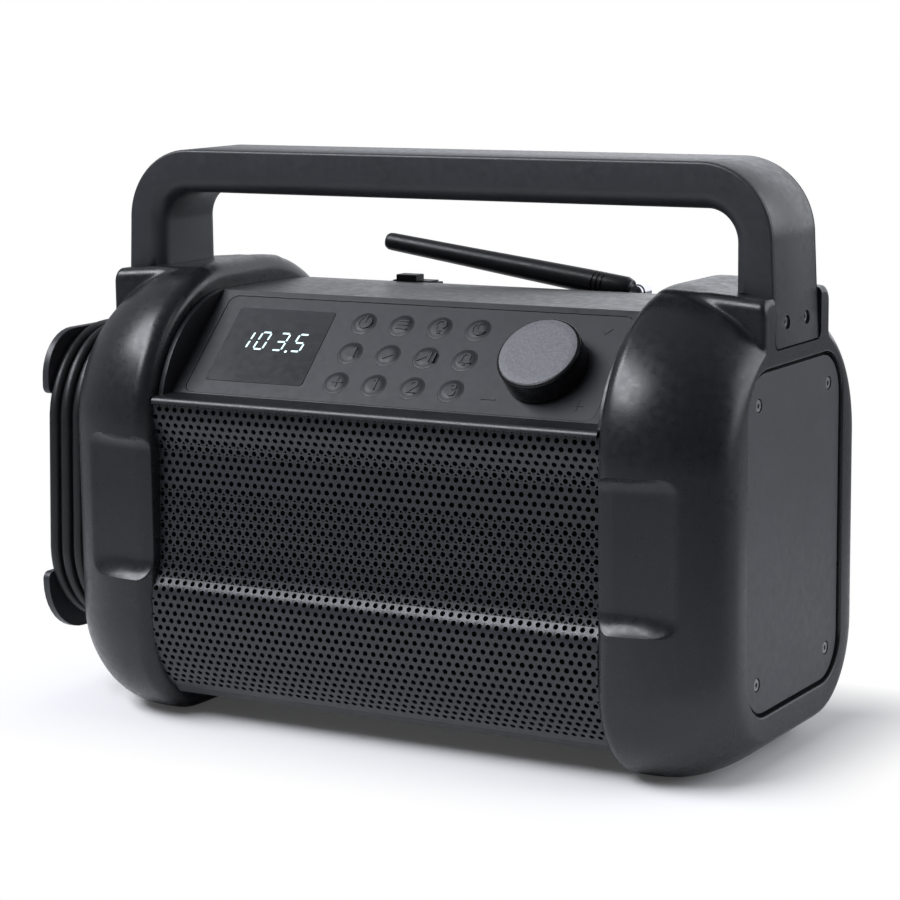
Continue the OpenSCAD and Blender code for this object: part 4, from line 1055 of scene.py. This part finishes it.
def make_knob():
    n0, n1 = KNOB_N0, KNOB_N1
    side = [(KNOB_R - 1.2, n0), (KNOB_R - 0.4, n0 + 0.15), (KNOB_R, n0 + 0.7), (KNOB_R, n1 - 1.3)]
    side += [(KNOB_R - 0.12, n1 - 0.9), (KNOB_R - 0.45, n1 - 0.5)]
    side += [(KNOB_R - 0.9, n1 - 0.25), (CAP_R + 0.1, n1 - 0.15)]
    profile = [(9.0, n0)] + side + [(CAP_R + 0.1, n1 - 0.9), (9.0, n1 - 0.9)]
    at, sides = on_panel(KNOB_X, KNOB_S), 160
    knob = revolve("volume_knob_body", profile, at, OUT, M["knob_plastic"], "volume_knob", sides)
    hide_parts("volume_knob")
    top = n1 + 0.2
    profile = [(CAP_R, n1 - 0.8), (CAP_R, top - 0.35), (CAP_R - 0.12, top - 0.12)]
    profile += [(CAP_R - 0.4, top), (CAP_R - 4, top + 0.05), (0.02, top + 0.1)]
    cap = revolve("volume_knob_cap", profile, at, OUT, M["knob_cap_plastic"], "volume_knob", sides)
    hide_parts("knob_cap")


def window_material():
    """Smoked lens with a painted reflection: its colour lightens towards its upper edge."""
    material = surface(
        "window_plastic", "1b1c1f", rough=0.2, rough_spread=0.03, specular=0.3, grain=300, grain_depth=0.00001
    )
    tree = material.node_tree
    shader = tree.nodes["Principled BSDF"]
    coords = tree.nodes.new("ShaderNodeTexCoord").outputs["Object"]
    parts = tree.nodes.new("ShaderNodeSeparateXYZ")
    link(tree, coords, parts.inputs["Vector"])
    low, high = on_panel(0, 26)[2] * MM, on_panel(0, -19)[2] * MM
    rise = spread(tree, parts.outputs["Z"], 0.0, 1.0, low, high)
    # Painted reflection: the lens colour lightens towards its upper edge.
    colour = ramp(tree, rise, [(0.0, linear("222325")), (1.0, linear("38393c"))])
    link(tree, colour, shader.inputs["Base Color"])
    return material


make_keys()
make_marks()
make_digits()
make_knob()
M["window_plastic"] = window_material()


# ---------------------------------------------------------------- antenna

ANTENNA_PIVOT = (61.5, 76.5, 205.7)
ANTENNA_REST = math.radians(7.9)
ANTENNA_LEN = 148.3
ANTENNA_DIR = (-math.cos(ANTENNA_REST), 0.0, math.sin(ANTENNA_REST))
SLEEVE_START, SLEEVE_R = 4.6, 6.1
SLEEVE_RINGS = (19.5, 22.2, 24.9)


def make_antenna():
    sleeve = [(2.9, SLEEVE_START + 0.6), (4.4, SLEEVE_START)]
    sleeve += [(4.9, SLEEVE_START + 0.3), (SLEEVE_R, SLEEVE_START + 3.0)]
    for ring in SLEEVE_RINGS:
        sleeve += [(SLEEVE_R, ring - 0.55), (SLEEVE_R - 0.5, ring - 0.4)]
        sleeve += [(SLEEVE_R - 0.5, ring + 0.4), (SLEEVE_R, ring + 0.55)]
    mast = [(SLEEVE_R, 29.0), (5.7, 60.0), (5.1, 100.0), (4.6, ANTENNA_LEN - 4)]
    tip = [(4.4, ANTENNA_LEN - 2), (3.8, ANTENNA_LEN - 0.8), (2.6, ANTENNA_LEN - 0.2), (0.6, ANTENNA_LEN)]
    profile, rubber = sleeve + mast + tip, M["antenna_rubber"]
    piece = revolve("antenna_mast_sleeve", profile, ANTENNA_PIVOT, ANTENNA_DIR, rubber, "antenna_mast", 64)
    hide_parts("antenna_mast")


make_antenna()


# ---------------------------------------------------------------- CAD nodes that stay

# The CAD nodes that wear each material.
NODE_MATERIALS = {
    "cabinet_plastic": "front_cabinet rear_cabinet bottom_trim rear_door left_end_frame right_end_frame",
    "panel_plastic": "control_panel",
    "keypad_rubber": "keypad_membrane",
    "window_plastic": "display_window",
    "display_plastic": "display_module",
    "steel": "encoder_shaft rotary_encoder door_hinge_pin transformer "
    "end_plate_screws handle_screws usb_socket cabinet_screws",
    "circuit_board": "keypad_board main_board power_supply_board",
    "speaker_metal": "speaker_frame_left speaker_frame_right",
    "speaker_paper": "speaker_cone_left speaker_cone_right",
    "inner_plastic": "battery_box",
    "antenna_plastic": "door_latch aux_jack",
    "end_plate": "left_end_plate right_end_plate",
    "hook_plastic": "upper_cord_hook lower_cord_hook",
    "brass": "handle_inserts",
    "cord_rubber": "cord_gland power_plug",
    "chrome": "antenna_base antenna_knuckle",
}
# Bevel widths in millimetres and the nodes that have them; the others get the small one.
SMALL_BEVEL = 0.15
WELD_REACH, FLAT_ANGLE, BEVEL_ANGLE, BEVEL_STEPS = 0.005, 0.5, 30, 3
BEVELS = {
    0.5: "front_cabinet control_panel rear_door",
    0.6: "rear_cabinet left_end_plate right_end_plate",
    0.4: "bottom_trim door_latch antenna_base",
    0.06: "keypad_membrane",
    1.2: "upper_cord_hook lower_cord_hook power_plug",
    0.2: "end_plate_screws handle_screws",
    0.8: "cord_gland",
    0.3: "aux_jack",
    0.15: "usb_socket",
}
NODE_BEVELS = {name: width for width, names in BEVELS.items() for name in names.split()}


def dress_nodes():
    for name, key in ((name, key) for key, names in NODE_MATERIALS.items() for name in names.split()):
        node = NODES[name]
        node.data.materials.clear()
        node.data.materials.append(M[key])
        node.data.polygons.foreach_set("use_smooth", [True] * len(node.data.polygons))
        if "custom_normal" in node.data.attributes:
            node.data.attributes.remove(node.data.attributes["custom_normal"])
        weld = node.modifiers.new("weld", "WELD")
        weld.merge_threshold = WELD_REACH * MM
        flat = node.modifiers.new("flat", "DECIMATE")
        flat.decimate_type = "DISSOLVE"
        flat.angle_limit = math.radians(FLAT_ANGLE)
        bevel = node.modifiers.new("bevel", "BEVEL")
        bevel.width = NODE_BEVELS.get(name, SMALL_BEVEL) * MM
        bevel.segments = BEVEL_STEPS
        bevel.limit_method = "ANGLE"
        bevel.angle_limit = math.radians(BEVEL_ANGLE)
        bevel.harden_normals = True


dress_nodes()


# ---------------------------------------------------------------- studio


STUDIO_TINT = (0.97, 0.985, 1.05, 1)
# The sweep's direction and brightness, and where it begins and ends: sideways and upward.
SWEEP_DIRECTION, SWEEP_LIGHT = (0.423, 0.906, 0.0), 0.95
SWEEP_SIDE, SWEEP_TOP = (0.40, 0.62), (0.62, 0.80)
ROOM_DIRECTION, ROOM_DARK, ROOM_LIGHT, ROOM_SPAN = (-0.6, 0.6, 0.53), 0.08, 0.30, (-0.3, 0.8)
LAMP_AIM, LAMP_DISTANCE = (0.0, 0.0, 0.13), 2.6
# Azimuth and elevation in degrees, width and height in metres, power in watts.
SOFTBOXES = {"front_left": (-130, 47, 2.5, 1.0, 76), "right_side": (30, 24, 2.0, 1.5, 20)}
FLOOR_HALF, PAPER_WHITE, TABLE_ROUGH, TABLE_GLOSS = 6.0, 0.95, 0.7, 0.1
# Glow that keeps the shadow beside the radio from going black.
FLOOR_LIFT = 0.04
# Reflections see a table that darkens from near to far between these distances.
TABLE_REACH, TABLE_NEAR, TABLE_FAR = (0.25, 0.75), 0.9, 0.25
# Half width and half depth of the ground the radio covers, and how far its shadow reaches beyond.
FOOTPRINT, SHADOW_REACH = (0.185, 0.085), (0.0, 0.06)


def footprint_distance(tree, coords):
    """0 beside the radio to 1 where its shadow has faded, from the distance to its footprint."""
    beyond = vector_math(tree, "ABSOLUTE", coords)
    less = vector_math(tree, "SUBTRACT", beyond, (*FOOTPRINT, 0))
    outside = vector_math(tree, "MAXIMUM", less, (0, 0, 0))
    return spread(tree, vector_math(tree, "LENGTH", outside), 0.0, 1.0, *SHADOW_REACH)


def make_floor():
    size = FLOOR_HALF
    corners = [(-size, -size, 0), (size, -size, 0), (size, size, 0), (-size, size, 0)]
    mesh = bpy.data.meshes.new("studio_floor")
    mesh.from_pydata(corners, [], [(0, 1, 2, 3)])
    floor = bpy.data.objects.new("studio_floor", mesh)
    bpy.context.scene.collection.objects.link(floor)
    material = bpy.data.materials.new("studio_floor")
    material.use_nodes = True
    tree = material.node_tree
    shader = tree.nodes["Principled BSDF"]
    out = tree.nodes["Material Output"]
    shader.inputs["Roughness"].default_value = TABLE_ROUGH
    shader.inputs["Specular IOR Level"].default_value = TABLE_GLOSS
    coords = tree.nodes.new("ShaderNodeTexCoord").outputs["Object"]
    away = spread(tree, vector_math(tree, "LENGTH", coords), 0.0, 1.0, *TABLE_REACH)
    table = ramp(tree, away, [(0.0, (TABLE_NEAR,) * 3), (1.0, (TABLE_FAR,) * 3)])
    paper = tree.nodes.new("ShaderNodeBsdfDiffuse")
    paper.inputs["Color"].default_value = (*(PAPER_WHITE,) * 3, 1)
    link(tree, table, shader.inputs["Base Color"])
    glow = tree.nodes.new("ShaderNodeEmission")
    lift = tree.nodes.new("ShaderNodeEmission")
    lift.inputs["Strength"].default_value = FLOOR_LIFT
    lit = tree.nodes.new("ShaderNodeAddShader")
    link(tree, paper.outputs["BSDF"], lit.inputs[0])
    link(tree, lift.outputs["Emission"], lit.inputs[1])
    reach = footprint_distance(tree, coords)
    near_far = mix_shaders(tree, reach, lit.outputs["Shader"], glow.outputs["Emission"])
    path = tree.nodes.new("ShaderNodeLightPath")
    by_ray = mix_shaders(tree, path.outputs["Is Camera Ray"], shader.outputs["BSDF"], near_far)
    link(tree, by_ray, out.inputs["Surface"])
    mesh.materials.append(material)


def facing(tree, coords, direction, dark, light, from_dark, from_light):
    """Brightness that rises with how nearly a ray points along a direction."""
    turn = vector_math(tree, "DOT_PRODUCT", coords, direction)
    return spread(tree, turn, dark, light, from_dark, from_light)


def combine(tree, operation, a, b):
    node = tree.nodes.new("ShaderNodeMath")
    node.operation = operation
    link(tree, a, node.inputs[0])
    link(tree, b, node.inputs[1])
    return node.outputs["Value"]


def make_world():
    """A dim room with a bright sweep behind and to the right; the camera sees plain white."""
    world = bpy.data.worlds.new("studio")
    bpy.context.scene.world = world
    world.use_nodes = True
    tree = world.node_tree
    tree.nodes.clear()
    out = tree.nodes.new("ShaderNodeOutputWorld")
    path = tree.nodes.new("ShaderNodeLightPath")
    coords = tree.nodes.new("ShaderNodeTexCoord").outputs["Generated"]
    sweep = facing(tree, coords, SWEEP_DIRECTION, 0.0, SWEEP_LIGHT, *SWEEP_SIDE)
    below = facing(tree, coords, (0, 0, 1), 1.0, 0.0, *SWEEP_TOP)
    dim = facing(tree, coords, ROOM_DIRECTION, ROOM_DARK, ROOM_LIGHT, *ROOM_SPAN)
    room = tree.nodes.new("ShaderNodeBackground")
    room.inputs["Color"].default_value = STUDIO_TINT
    link(tree, combine(tree, "ADD", combine(tree, "MULTIPLY", sweep, below), dim), room.inputs["Strength"])
    seen = tree.nodes.new("ShaderNodeBackground")
    seen.inputs["Color"].default_value = (1, 1, 1, 1)
    direct = combine(tree, "MAXIMUM", path.outputs["Is Camera Ray"], path.outputs["Is Transmission Ray"])
    final = mix_shaders(tree, direct, room.outputs["Background"], seen.outputs["Background"])
    link(tree, final, out.inputs["Surface"])


def softbox(name, azimuth, elevation, width, height, power):
    """A lamp that faces the radio; azimuth is counted from the radio's right-hand side."""
    az, el = math.radians(azimuth), math.radians(elevation)
    away = Vector((math.cos(el) * math.cos(az), math.cos(el) * math.sin(az), math.sin(el)))
    data = bpy.data.lights.new(name, "AREA")
    data.shape = "RECTANGLE"
    data.size, data.size_y = width, height
    data.energy = power
    data.color = STUDIO_TINT[:3]
    lamp = bpy.data.objects.new(name, data)
    bpy.context.scene.collection.objects.link(lamp)
    lamp.location = Vector(LAMP_AIM) + away * LAMP_DISTANCE
    lamp.rotation_mode = "QUATERNION"
    lamp.rotation_quaternion = (-away).to_track_quat("-Z", "Y")
    lamp.visible_camera = False


def make_studio():
    make_floor()
    make_world()
    for name, values in SOFTBOXES.items():
        softbox(name, *values)
    bpy.context.scene.view_settings.view_transform = "Standard"


make_studio()
